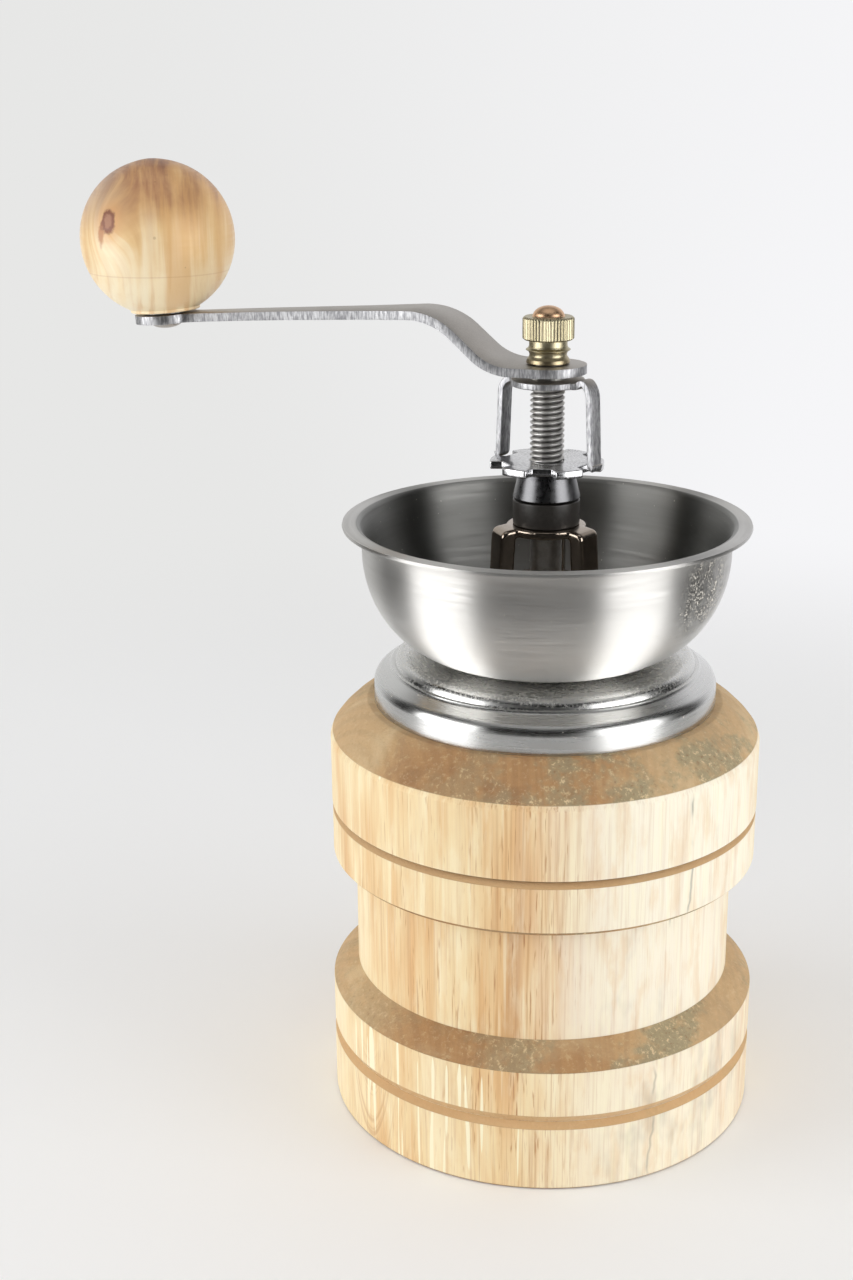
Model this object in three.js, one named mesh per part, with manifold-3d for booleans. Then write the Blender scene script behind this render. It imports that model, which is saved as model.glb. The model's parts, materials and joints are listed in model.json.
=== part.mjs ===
// Manual coffee grinder: a turned wooden hand mill with a steel hopper bowl, a conical burr set,
// a notched adjusting disc locked by a clip, and a bent crank with a round wooden knob.
// Millimetres, +Z up. The origin is the centre of the base, the crank points to -X and -Y is the front.
// Angles called theta are measured round the axis from the front, positive towards +X.
import * as THREE from "three";
import { mergeVertices } from "three/addons/utils/BufferGeometryUtils.js";
import Module from "manifold-3d";

const wasm = await Module();
wasm.setup();

// Clearances
const TOUCH_GAP = 0.3;
const RUN_GAP = 0.1;
const SLIP_GAP = 0.4;
const CUT_MARGIN = 2;
const MERGE_DISTANCE = 1e-4;

// Roundness: steps round the axis
const LARGE_STEPS = 32;
const MIDDLE_STEPS = 24;
const SMALL_STEPS = 20;
const SCREW_STEPS = 12;
const SCREW_HOLE_STEPS = 10;
const BOWL_ARC_STEPS = 8;
const KNOB_ARC_STEPS = 10;
const EDGE_ARC_STEPS = 3;
const CROWN_ARC_STEPS = 4;

// Wooden container, the lower half of the mill
const FOOT_RADIUS = 51.9;
const FOOT_HEIGHT = 30.2;
const FOOT_SLOPE_RISE = 5.1;
const FOOT_GROOVE_HEIGHT = 17.2;
const FOOT_GROOVE_ABOVE = 2.04;
const FOOT_GROOVE_BELOW = 1.36;
const FOOT_GROOVE_DEPTH = 1.4;
const WAIST_RADIUS = 45.7;
const WAIST_HEIGHT = 28.5;
const COLLAR_RADIUS = 51.2;
const COLLAR_HEIGHT = 13.1;
const COLLAR_CHAMFER = 1.5;
const CONTAINER_BORE_RADIUS = 38;
const CONTAINER_FLOOR = 10;
const CONTAINER_FLOOR_FILLET = 4;
const WOOD_EDGE = 0.7;

// Wooden top ring, which lifts off the container
const TOP_RING_RADIUS = 51.3;
const TOP_RING_SIDE = 17.1;
const TOP_SLOPE_RISE = 8.4;
const TOP_SLOPE_BULGE = 0.7;
const SPIGOT_LENGTH = 10;
const SPIGOT_WALL = 6;
const BURR_CHAMBER_HEIGHT = 9;

// Stepped steel flange between the wood and the bowl
const SHEET = 0.8;
const FLANGE_RADIUS = 40.6;
const FLANGE_SEAT_MARGIN = 1.7;
const FLANGE_SIDE = 4.2;
const FLANGE_SHOULDER_RADIUS = 3;
const FLANGE_COVE_RISE = 1.6;
const FLANGE_BEAD_RADIUS = 2.6;
const FLANGE_BEAD_SETBACK = 7.6;
const FLANGE_HEIGHT = 11.2;

// Steel hopper bowl
const BOWL_RADIUS = 43;
const BOWL_DEPTH = 25.3;
const BOWL_FLAT_WIDTH = 2.5;
const BOWL_NECK = 3.6;
const BOWL_FLARE_RADIUS = 1.9;
const BOWL_RIM_RADIUS = 47.5;

// Cast burr housing: tube, foot ring, three bowed arms, web and hub
const HOUSING_TUBE_RADIUS = 19;
const HOUSING_TUBE_LENGTH = 24;
const HOUSING_THROAT_WALL = 3.5;
const FOOT_RING_WIDTH = 6;
const FOOT_RING_HEIGHT = 2.4;
const ARM_ANGLES = [-51, 69, 189];
const ARM_WIDTH = 7;
const ARM_THICKNESS = 3.6;
const ARM_TOP_RADIUS = 12.2;
const ARM_FOOT_OFFSET = 3.5;
const ARM_FOOT_STEP = 3.2;
const ARM_CORNER = 1;
// The arm's bow: how far it stands out from its top radius, at shares of its height
const ARM_BOW = [[3, 0.28], [0.9, 0.55]];
const ARM_FOOT_SHARE = 0.08;
const HUB_RADIUS = 10;
const HUB_THICKNESS = 2.5;
const HUB_TOP_RISE = 27.3;
const WEB_THICKNESS = 3;
const WEB_BOSS_RADIUS = 8;
const WEB_BOSS_HEIGHT = 4.4;
const WEB_RISE = 10;
const SPOKE_WIDTH = 6;

// Burr set
const OUTER_BURR_HEIGHT = 13.5;
const OUTER_BURR_WALL = 1.9;
const OUTER_BURR_RECESS = 3;
const OUTER_BURR_LIP = 1.2;
const BURR_GAP = 0.5;
const BURR_BAND_HEIGHT = 5;
const BURR_BAND_NARROWING = 1.6;
const INNER_BURR_OVERHANG = 3.5;
const INNER_BURR_HEIGHT = 21;
const INNER_BURR_TOP_RADIUS = 6.4;
const INNER_BURR_FOOT_STEP = 1.5;
const BURR_TEETH = 12;
const BURR_COLUMNS = 3;
const TOOTH_DEPTH = 0.7;
const TOOTH_LEAN_HEIGHT = 40;

// Shaft
const THREAD_RADIUS = 3.96;
const THREAD_DEPTH = 0.72;
const THREAD_PITCH = 1.25;
const THREAD_ROWS = 3;
const THREAD_COLUMNS = 10;
const THREAD_FLANK = 1.4;
const THREAD_CREST = 0.2;
const SHAFT_STEP = 0.26;
const SHAFT_FLAT = 3;
const CLIP_FLAT = 3.1;
const CRANK_SEAT_RADIUS = 3.6;
const CRANK_FLAT = 3.05;
const STUD_RADIUS = 2.95;
const TOP_STUD_LENGTH = 8;
const BOTTOM_STUD_LENGTH = 7.4;

// Bushes
const BUSH_SHOULDER = 2.6;
const BUSH_HEIGHT = 5.6;
const BUSH_SPIGOT_WALL = 1.04;
const GUIDE_FLANGE_WIDTH = 1.5;
const GUIDE_FLANGE = 1;

// Adjusting nut and notched disc
const NUT_FOOT_RADIUS = 7.73;
const NUT_TOP_RADIUS = 6.44;
const NUT_HEIGHT = 6.6;
const NUT_FOOT_HEIGHT = 0.3;
const NUT_EDGE = 0.4;
const DISC_RADIUS = 13.15;
const DISC_THICKNESS = 1.85;
const NOTCH_COUNT = 6;
const FIRST_NOTCH = 9;
const NOTCH_FLOOR_RADIUS = 10.1;
const NOTCH_FLOOR_WIDTH = 4.6;
const NOTCH_MOUTH_WIDTH = 6.9;
const LOBE_STEPS = 5;

// Lock clip
const CLIP_PLATE_RADIUS = 8.4;
const CLIP_THICKNESS = 1.5;
const CLIP_LEG_ANGLES = [69, -111];
const CLIP_LEG_WIDTH = 3.7;
const CLIP_LEG_REACH = 13;
const CLIP_BEND_RADIUS = 2.6;
const CLIP_STANDOFF = 17.3;
const CLIP_TOE_DEPTH = 1;
const CLIP_HUMP = 1.7;
const CLIP_HUMP_RAMP = 0.45;
const CLIP_RAMP_SETBACK = 0.51;
const CLIP_STRAP_ROOT = 3;
const CLIP_INNER_CORNER = 0.3;

// Crank arm
const CRANK_THICKNESS = 2;
const CRANK_STANDOFF = 1.3;
const CRANK_EYE_RADIUS = 8.8;
const CRANK_BEND_START = 6.6;
const CRANK_LOW_BEND_RADIUS = 13.1;
const CRANK_HIGH_BEND_RADIUS = 16.4;
const CRANK_BEND_ANGLE = 41.8;
const CRANK_RISE = 11.6;
const CRANK_REACH = 95.2;
const CRANK_SLOPE = 2.8;
const CRANK_TIP_TILT = 3.8;
const CRANK_TIP_CURVE = 30;
const KNOB_EYE_RADIUS = 7.46;
const CRANK_ROOT_WIDTH = 17.2;
const CRANK_ROOT_END = 24;
const CRANK_WAIST_WIDTH = 10.4;
const CRANK_WAIST_PLACE = 47;
const CRANK_NECK_WIDTH = 7.4;
const CRANK_ROOT_HOLLOW = 0.3;
const CRANK_NECK_HOLLOW = 0.5;
const CRANK_OUTLINE_STEPS = 12;
const BEND_STEP = 7;

// Thumb nut
const THUMB_BASE_RADIUS = 4.85;
const THUMB_HOLLOW_RADIUS = 4.2;
const THUMB_RING_RADIUS = 5.05;
const THUMB_NECK_RADIUS = 4.35;
const THUMB_KNURL_RADIUS = 5.85;
const THUMB_KNURL_HEIGHT = 5.1;
const THUMB_STEM_HEIGHT = 5.3;
const THUMB_BASE_HEIGHT = 0.8;
const THUMB_EDGE = 0.35;
// Shares of the stem's height at which its hollow, ring and neck lie
const THUMB_HOLLOW_SHARE = 0.45;
const THUMB_RING_SHARE = 0.65;
const THUMB_NECK_SHARE = 0.8;
const THUMB_DOME_RADIUS = 3.6;
const THUMB_DOME_HEIGHT = 2.4;
const THUMB_FLUTES = 18;
const THUMB_FLUTE_DEPTH = 0.18;

// Knob, its insert, screw and washer
const KNOB_RADIUS = 18.4;
const KNOB_NECK_RADIUS = 8.3;
const KNOB_NECK_HEIGHT = 0.7;
const KNOB_WASHER_RADIUS = 5.4;
const KNOB_WASHER_THICKNESS = 0.3;
const KNOB_END_PLAY = 0.2;
const INSERT_RADIUS = 3.6;
const INSERT_LENGTH = 11;
const KNOB_SCREW_RADIUS = 2;
const KNOB_SCREW_HEAD_RADIUS = 3.6;
const KNOB_SCREW_HEAD_HEIGHT = 1.5;
const KNOB_HOLE_DEPTH = 13;

// Fasteners, washers and the spring
const HOUSING_SCREW_OFFSET = 2.7;
const HOUSING_SCREW_RADIUS = 1.7;
const HOUSING_SCREW_LENGTH = 18;
const HOUSING_SCREW_HEAD_RADIUS = 2.7;
const HOUSING_SCREW_HEAD_HEIGHT = 1.7;
const HOUSING_SCREW_TIP = 3;
const SCREW_SLOT = 0.8;
const WASHER_THICKNESS = 1;
const WASHER_OVERHANG = 0.2;
const BURR_NUT_FLATS = 10;
const BURR_NUT_HEIGHT = 4.4;
const SPRING_WIRE = 1;
const SPRING_OFFSET = 1.6;
const SPRING_TURNS = 5;
const SPRING_STEPS = 8;
const SPRING_SIDES = 5;

// Heights that follow from the sizes above
const slopeTop = FOOT_HEIGHT + FOOT_SLOPE_RISE;
const collarBottom = slopeTop + WAIST_HEIGHT;
const containerRim = collarBottom + COLLAR_HEIGHT;
const ringBottom = containerRim + TOUCH_GAP;
const ringEdge = ringBottom + TOP_RING_SIDE - TOUCH_GAP;
const woodTop = ringEdge + TOP_SLOPE_RISE;
const flangeTop = woodTop + FLANGE_HEIGHT;
const bowlBottom = flangeTop + TOUCH_GAP;
const bowlEquator = bowlBottom + BOWL_DEPTH;
const housingSeat = bowlBottom + SHEET + TOUCH_GAP;
const footRingTop = housingSeat + FOOT_RING_HEIGHT;
const housingBottom = footRingTop - HOUSING_TUBE_LENGTH;
const hubTop = footRingTop + HUB_TOP_RISE;
const webBottom = footRingTop + WEB_RISE;
const bushBottom = hubTop + TOUCH_GAP;
const bushTop = bushBottom + BUSH_HEIGHT;
const nutBottom = bushTop + TOUCH_GAP;
const nutTop = nutBottom + NUT_HEIGHT;
const discBottom = nutTop + TOUCH_GAP;
const discTop = discBottom + DISC_THICKNESS;
const clipPlateBottom = discTop + CLIP_STANDOFF;
const clipPlateTop = clipPlateBottom + CLIP_THICKNESS;
const crankBottom = clipPlateTop + CRANK_STANDOFF;
const crankTop = crankBottom + CRANK_THICKNESS;
const outerBurrBottom = housingBottom + OUTER_BURR_RECESS;
const outerBurrTop = outerBurrBottom + OUTER_BURR_HEIGHT;
const innerBurrBottom = outerBurrBottom - INNER_BURR_OVERHANG;
const innerBurrTop = innerBurrBottom + INNER_BURR_HEIGHT;
const washerBottom = innerBurrBottom - TOUCH_GAP - WASHER_THICKNESS;
const burrNutTop = washerBottom - TOUCH_GAP;
const springBottom = innerBurrTop + WASHER_THICKNESS + 2 * TOUCH_GAP;
const springTop = webBottom - GUIDE_FLANGE - 2 * TOUCH_GAP;
const housingScrewSeat = footRingTop + TOUCH_GAP;

// Heights in the knob's own frame, above the top of the crank's eye
const knobWasherBottom = TOUCH_GAP / 2;
const knobBase = knobWasherBottom + KNOB_WASHER_THICKNESS + KNOB_END_PLAY;
const insertBottom = knobBase + TOUCH_GAP;

// Radii that follow from the sizes above
const outerBurrRadius = HOUSING_TUBE_RADIUS - OUTER_BURR_WALL;
const outerBurrBore = outerBurrRadius + TOUCH_GAP;
const housingHole = HOUSING_TUBE_RADIUS + TOUCH_GAP;
const throatRadius = HOUSING_TUBE_RADIUS - HOUSING_THROAT_WALL;
const footRingRadius = HOUSING_TUBE_RADIUS + FOOT_RING_WIDTH;
const bowlFlatRadius = HOUSING_TUBE_RADIUS + BOWL_FLAT_WIDTH;
const armFootRadius = HOUSING_TUBE_RADIUS + ARM_FOOT_OFFSET;
const screwCircle = HOUSING_TUBE_RADIUS + HOUSING_SCREW_OFFSET;
const spigotRadius = CONTAINER_BORE_RADIUS - SLIP_GAP;
const chamberRadius = spigotRadius - SPIGOT_WALL;
const shaftRadius = THREAD_RADIUS - SHAFT_STEP;
const shaftHole = THREAD_RADIUS + RUN_GAP;
const bushSpigotRadius = shaftHole + BUSH_SPIGOT_WALL;
const bushRadius = bushSpigotRadius + BUSH_SHOULDER;
const guideFlangeRadius = bushSpigotRadius + GUIDE_FLANGE_WIDTH;
const springRadius = shaftRadius + SPRING_OFFSET;
const washerRadius = springRadius + SPRING_WIRE / 2 + WASHER_OVERHANG;
const screwHole = HOUSING_SCREW_RADIUS + TOUCH_GAP;
const topFlatRadius = FLANGE_RADIUS + FLANGE_SEAT_MARGIN;
const flangeShelfRadius = FLANGE_RADIUS - FLANGE_BEAD_SETBACK;
const bossRadius = flangeShelfRadius - FLANGE_BEAD_RADIUS - SHEET;
const burrBandRadius = outerBurrRadius - OUTER_BURR_WALL;

const root = new THREE.Group();
root.name = "coffee_grinder";

const finishes = {
  lightWood: [0xd9bd8a, 0.6, 0],
  darkWood: [0xb98f5c, 0.65, 0],
  knobWood: [0xdcb87c, 0.5, 0],
  brushedSteel: [0xb9b7b3, 0.35, 1],
  castMetal: [0x8d8a85, 0.45, 1],
  chrome: [0xc9c9cb, 0.15, 1],
  plainSteel: [0xa7a59f, 0.4, 1],
  blackPlastic: [0x26241f, 0.5, 0],
  brass: [0xc2a85c, 0.3, 1],
  burrSteel: [0x6f6d69, 0.5, 1],
};

function material(name) {
  const [color, roughness, metalness] = finishes[name];
  return new THREE.MeshStandardMaterial({ name, color, roughness, metalness });
}

// Closed solids and booleans

function toSolid(geometry) {
  const bare = geometry.index ? geometry.toNonIndexed() : geometry.clone();
  bare.deleteAttribute("normal");
  bare.deleteAttribute("uv");
  const merged = mergeVertices(bare, MERGE_DISTANCE);
  const vertProperties = new Float32Array(merged.attributes.position.array);
  const triVerts = new Uint32Array(merged.index.array);
  return new wasm.Manifold(new wasm.Mesh({ numProp: 3, vertProperties, triVerts }));
}

function toGeometry(solid) {
  const { vertProperties, triVerts } = solid.getMesh();
  const geometry = new THREE.BufferGeometry();
  geometry.setAttribute("position", new THREE.BufferAttribute(new Float32Array(vertProperties), 3));
  geometry.setIndex(new THREE.BufferAttribute(new Uint32Array(triVerts), 1));
  geometry.computeVertexNormals();
  return geometry;
}

function join(...geometries) {
  return toGeometry(geometries.map(toSolid).reduce((whole, piece) => whole.add(piece)));
}

function cut(geometry, ...tools) {
  return toGeometry(tools.map(toSolid).reduce((whole, tool) => whole.subtract(tool), toSolid(geometry)));
}

function overlap(first, second) {
  return toGeometry(toSolid(first).intersect(toSolid(second)));
}

function add(name, geometry, finish, parent = root) {
  const mesh = new THREE.Mesh(geometry, material(finish));
  mesh.name = name;
  parent.add(mesh);
  return mesh;
}

// Basic shapes, all about the vertical axis

// Turns an outline of [radius, height] points, anticlockwise from its lowest point.
function turned(outline, steps = LARGE_STEPS) {
  const points = outline.map(([r, z]) => new THREE.Vector2(r, z));
  return new THREE.LatheGeometry(points, steps).rotateX(Math.PI / 2);
}

function closed(outline) {
  return [...outline, outline[0]];
}

function rod(radius, bottom, top, steps = SMALL_STEPS) {
  return turned([[0, bottom], [radius, bottom], [radius, top], [0, top]], steps);
}

function ring(inner, outer, bottom, top, steps = SMALL_STEPS) {
  return turned(closed([[inner, bottom], [outer, bottom], [outer, top], [inner, top]]), steps);
}

// Points on an arc in the outline plane, with its angles in degrees.
function arc(centreR, centreZ, radiusR, radiusZ, from, to, steps) {
  const points = [];
  for (let i = 0; i <= steps; i++) {
    const angle = THREE.MathUtils.degToRad(from + ((to - from) * i) / steps);
    points.push([centreR + radiusR * Math.cos(angle), centreZ + radiusZ * Math.sin(angle)]);
  }
  return points;
}

// Points between two ends of a slope that bulges outwards in the middle.
function bulgedSlope([r0, z0], [r1, z1], bulge, steps) {
  const length = Math.hypot(r1 - r0, z1 - z0);
  const points = [];
  for (let i = 0; i <= steps; i++) {
    const share = i / steps;
    const push = 4 * bulge * share * (1 - share);
    points.push([
      r0 + (r1 - r0) * share + ((z1 - z0) / length) * push,
      z0 + (z1 - z0) * share - ((r1 - r0) / length) * push,
    ]);
  }
  return points;
}

// A sheet's closed outline: its outer line and that line moved to its left by the thickness.
function sheet(line, thickness) {
  const moved = line.map(([r, z], i) => {
    const [r0, z0] = line[Math.max(i - 1, 0)];
    const [r1, z1] = line[Math.min(i + 1, line.length - 1)];
    const length = Math.hypot(r1 - r0, z1 - z0);
    return [r - ((z1 - z0) / length) * thickness, z + ((r1 - r0) / length) * thickness];
  });
  return closed([...line, ...moved.reverse()]);
}

// A box across the flats of a shaft, for a double-D section.
function flats(halfWidth, bottom, top) {
  const height = top - bottom;
  const box = new THREE.BoxGeometry(4 * THREAD_RADIUS, 2 * halfWidth, height);
  return box.translate(0, 0, bottom + height / 2);
}

function doubleD(radius, halfWidth, bottom, top) {
  return overlap(rod(radius, bottom, top), flats(halfWidth, bottom, top));
}

// A double-D hole that clears a double-D shaft of the given size.
function doubleDHole(radius, halfWidth, bottom, top) {
  return doubleD(radius + RUN_GAP, halfWidth + RUN_GAP, bottom - CUT_MARGIN, top + CUT_MARGIN);
}

// A flat shape, lifted to a height and extruded upwards.
function plate(shape, bottom, thickness, curveSegments = 8) {
  const settings = { depth: thickness, bevelEnabled: false, curveSegments };
  return new THREE.ExtrudeGeometry(shape, settings).translate(0, 0, bottom);
}

// A side view of [radius, height] points given a width, standing at the angle theta.
function upright(outline, width, theta) {
  const shape = new THREE.Shape(outline.map(([r, z]) => new THREE.Vector2(r, z)));
  const geometry = plate(shape, -width / 2, width);
  return turnedTo(geometry.rotateX(Math.PI / 2).rotateZ(-Math.PI / 2), theta);
}

function turnedTo(geometry, theta) {
  return geometry.rotateZ(THREE.MathUtils.degToRad(theta));
}

// A turned surface of [radius, height, share] points whose radius also follows a wave round the axis.
function wavy(outline, columns, wave) {
  const positions = [];
  for (let j = 0; j <= columns; j++) {
    const turn = (j % columns) / columns;
    for (const [r, z, share] of outline) {
      const radius = r + share * wave(turn, z);
      const angle = 2 * Math.PI * turn;
      positions.push(radius * Math.sin(angle), -radius * Math.cos(angle), z);
    }
  }
  const index = [];
  const rows = outline.length;
  for (let j = 0; j < columns; j++) {
    for (let i = 0; i < rows - 1; i++) {
      const a = j * rows + i;
      const b = a + rows;
      if (outline[i][0] > 0) index.push(a, b, a + 1);
      if (outline[i + 1][0] > 0) index.push(b, b + 1, a + 1);
    }
  }
  const geometry = new THREE.BufferGeometry();
  geometry.setAttribute("position", new THREE.Float32BufferAttribute(positions, 3));
  geometry.setIndex(index);
  return geometry;
}

function fraction(value) {
  return value - Math.floor(value);
}

// Wooden pieces

function containerWood() {
  const slopeFoot = [FOOT_RADIUS - WOOD_EDGE, FOOT_HEIGHT];
  const outside = [
    [0, 0],
    [FOOT_RADIUS - WOOD_EDGE, 0],
    [FOOT_RADIUS, WOOD_EDGE],
    [FOOT_RADIUS, FOOT_GROOVE_HEIGHT - FOOT_GROOVE_BELOW],
    [FOOT_RADIUS - FOOT_GROOVE_DEPTH, FOOT_GROOVE_HEIGHT],
    [FOOT_RADIUS, FOOT_GROOVE_HEIGHT + FOOT_GROOVE_ABOVE],
    [FOOT_RADIUS, FOOT_HEIGHT - WOOD_EDGE],
    ...bulgedSlope(slopeFoot, [WAIST_RADIUS, slopeTop], WOOD_EDGE, EDGE_ARC_STEPS),
    [WAIST_RADIUS, collarBottom + WOOD_EDGE],
    [COLLAR_RADIUS - WOOD_EDGE, collarBottom],
    [COLLAR_RADIUS, collarBottom + WOOD_EDGE],
    [COLLAR_RADIUS, containerRim - COLLAR_CHAMFER],
    [COLLAR_RADIUS - COLLAR_CHAMFER, containerRim],
  ];
  const inside = [
    [CONTAINER_BORE_RADIUS + WOOD_EDGE, containerRim],
    [CONTAINER_BORE_RADIUS, containerRim - WOOD_EDGE],
    [CONTAINER_BORE_RADIUS, CONTAINER_FLOOR + CONTAINER_FLOOR_FILLET],
    [CONTAINER_BORE_RADIUS - CONTAINER_FLOOR_FILLET, CONTAINER_FLOOR],
    [0, CONTAINER_FLOOR],
  ];
  return turned([...outside, ...inside]);
}

function topRingWood() {
  const bossTop = flangeTop - SHEET - TOUCH_GAP;
  const chamberTop = ringBottom + BURR_CHAMBER_HEIGHT;
  const funnelTop = chamberTop + chamberRadius - housingHole;
  const slopeFoot = [TOP_RING_RADIUS - WOOD_EDGE, ringEdge];
  const outline = closed([
    [chamberRadius, ringBottom - SPIGOT_LENGTH],
    [spigotRadius - WOOD_EDGE, ringBottom - SPIGOT_LENGTH],
    [spigotRadius, ringBottom - SPIGOT_LENGTH + WOOD_EDGE],
    [spigotRadius, ringBottom],
    [TOP_RING_RADIUS - WOOD_EDGE, ringBottom],
    [TOP_RING_RADIUS, ringBottom + WOOD_EDGE],
    [TOP_RING_RADIUS, ringEdge - WOOD_EDGE],
    ...bulgedSlope(slopeFoot, [topFlatRadius, woodTop], TOP_SLOPE_BULGE, CROWN_ARC_STEPS),
    [bossRadius, woodTop],
    [bossRadius, bossTop],
    [housingHole, bossTop],
    [housingHole, Math.min(funnelTop, housingBottom + CUT_MARGIN)],
    [chamberRadius, chamberTop],
  ]);
  return cut(turned(outline), ...screwHoles(flangeTop - HOUSING_SCREW_LENGTH, flangeTop));
}

// Steel sheet pieces

function flangeSteel() {
  const shoulder = woodTop + TOUCH_GAP + FLANGE_SIDE;
  const shoulderR = FLANGE_RADIUS - FLANGE_SHOULDER_RADIUS;
  const shoulderTop = shoulder + FLANGE_SHOULDER_RADIUS;
  const beadZ = flangeTop - FLANGE_BEAD_RADIUS;
  const line = [
    [FLANGE_RADIUS, woodTop + TOUCH_GAP],
    ...arc(shoulderR, shoulder, FLANGE_SHOULDER_RADIUS, FLANGE_SHOULDER_RADIUS, 0, 72, EDGE_ARC_STEPS),
    [flangeShelfRadius + FLANGE_BEAD_RADIUS + FLANGE_COVE_RISE / 2, shoulderTop],
    ...arc(flangeShelfRadius, beadZ, FLANGE_BEAD_RADIUS, FLANGE_BEAD_RADIUS, 10, 90, EDGE_ARC_STEPS),
    [housingHole, flangeTop],
  ];
  return cut(turned(sheet(line, SHEET)), ...screwHoles(shoulder, bowlBottom));
}

function bowlSteel() {
  const flareZ = bowlEquator + BOWL_NECK;
  const flareR = BOWL_RADIUS + BOWL_FLARE_RADIUS;
  const curveR = BOWL_RADIUS - bowlFlatRadius;
  const line = [
    [housingHole, bowlBottom],
    ...arc(bowlFlatRadius, bowlEquator, curveR, BOWL_DEPTH, -90, 0, BOWL_ARC_STEPS),
    ...arc(flareR, flareZ, BOWL_FLARE_RADIUS, BOWL_FLARE_RADIUS, 180, 90, EDGE_ARC_STEPS),
    [BOWL_RIM_RADIUS, flareZ + BOWL_FLARE_RADIUS],
  ];
  return cut(turned(sheet(line, SHEET)), ...screwHoles(flangeTop, housingSeat));
}

// Cast burr housing

// The line of an arm's outer face, from its foot to the hub.
function armLine() {
  return [
    [armFootRadius, footRingTop - FOOT_RING_HEIGHT / 2],
    [armFootRadius - ARM_FOOT_STEP, footRingTop + HUB_TOP_RISE * ARM_FOOT_SHARE],
    ...ARM_BOW.map(([out, share]) => [ARM_TOP_RADIUS + out, footRingTop + HUB_TOP_RISE * share]),
    [ARM_TOP_RADIUS, hubTop - ARM_CORNER],
    [ARM_TOP_RADIUS - ARM_CORNER, hubTop],
  ];
}

function housingArm(theta) {
  const outer = armLine();
  const inner = outer.map(([r, z]) => [r - ARM_THICKNESS, Math.min(z, hubTop - HUB_THICKNESS / 2)]);
  const hubSide = [inner.at(-1)[0], hubTop];
  return upright([...outer, hubSide, ...inner.reverse()], ARM_WIDTH, theta);
}

function housingTube() {
  const chamfer = FOOT_RING_HEIGHT / 2;
  const outline = closed([
    [outerBurrBore, housingBottom],
    [HOUSING_TUBE_RADIUS, housingBottom],
    [HOUSING_TUBE_RADIUS, housingSeat],
    [Math.min(bowlFlatRadius, footRingRadius - chamfer), housingSeat],
    [footRingRadius, housingSeat + chamfer],
    [footRingRadius, footRingTop],
    [outerBurrBore, footRingTop],
    [throatRadius, footRingTop - FOOT_RING_HEIGHT],
    [throatRadius, outerBurrTop + TOUCH_GAP],
    [outerBurrBore, outerBurrTop + TOUCH_GAP],
  ]);
  return turned(outline, MIDDLE_STEPS);
}

// A spoke of the web that carries the guide bush, from the boss into an arm.
function webSpoke(theta) {
  const reach = ARM_TOP_RADIUS;
  const spoke = new THREE.BoxGeometry(SPOKE_WIDTH, reach, WEB_THICKNESS);
  return turnedTo(spoke.translate(0, -reach / 2, webBottom + WEB_THICKNESS / 2), theta);
}

function burrHousing() {
  const hub = rod(HUB_RADIUS, hubTop - HUB_THICKNESS, hubTop, MIDDLE_STEPS);
  const boss = rod(WEB_BOSS_RADIUS, webBottom, webBottom + WEB_BOSS_HEIGHT, MIDDLE_STEPS);
  const arms = ARM_ANGLES.map(housingArm);
  const spokes = ARM_ANGLES.map(webSpoke);
  const whole = join(housingTube(), hub, boss, ...arms, ...spokes);
  const bushHole = rod(bushSpigotRadius + TOUCH_GAP, webBottom - CUT_MARGIN, hubTop + CUT_MARGIN);
  return cut(whole, bushHole, ...screwHoles(housingBottom, footRingTop + CUT_MARGIN));
}

// Bushes that carry the shaft in the hub and in the web

function topBush() {
  const outline = closed([
    [shaftHole, hubTop - HUB_THICKNESS],
    [bushSpigotRadius, hubTop - HUB_THICKNESS],
    [bushSpigotRadius, bushBottom],
    [bushRadius, bushBottom],
    [bushRadius, bushTop],
    [shaftHole, bushTop],
  ]);
  return turned(outline, SMALL_STEPS);
}

function guideBush() {
  const flangeBottom = webBottom - TOUCH_GAP - GUIDE_FLANGE;
  const outline = closed([
    [shaftHole, flangeBottom],
    [guideFlangeRadius, flangeBottom],
    [guideFlangeRadius, flangeBottom + GUIDE_FLANGE],
    [bushSpigotRadius, flangeBottom + GUIDE_FLANGE],
    [bushSpigotRadius, webBottom + WEB_BOSS_HEIGHT],
    [shaftHole, webBottom + WEB_BOSS_HEIGHT],
  ]);
  return turned(outline, SMALL_STEPS);
}

// Burrs

// The radius of the fine grinding cone, which both burrs follow, at a height.
function bandRadius(z) {
  return burrBandRadius - (BURR_BAND_NARROWING * (z - outerBurrBottom)) / BURR_BAND_HEIGHT;
}

// A tooth cut, from 0 at its edge to 1 at its root, leaning round the axis as it rises.
function tooth(turn, z) {
  return fraction(turn * BURR_TEETH + (z - outerBurrBottom) / TOOTH_LEAN_HEIGHT);
}

function outerBurr() {
  const bandTop = outerBurrBottom + BURR_BAND_HEIGHT;
  const mouth = outerBurrRadius - OUTER_BURR_LIP;
  const outline = closed([
    [bandRadius(outerBurrBottom), outerBurrBottom, TOOTH_DEPTH],
    [outerBurrRadius, outerBurrBottom, 0],
    [outerBurrRadius, outerBurrTop, 0],
    [mouth, outerBurrTop, TOOTH_DEPTH / 2],
    [bandRadius(bandTop), bandTop, TOOTH_DEPTH],
  ]);
  return wavy(outline, BURR_TEETH * BURR_COLUMNS, tooth);
}

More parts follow.
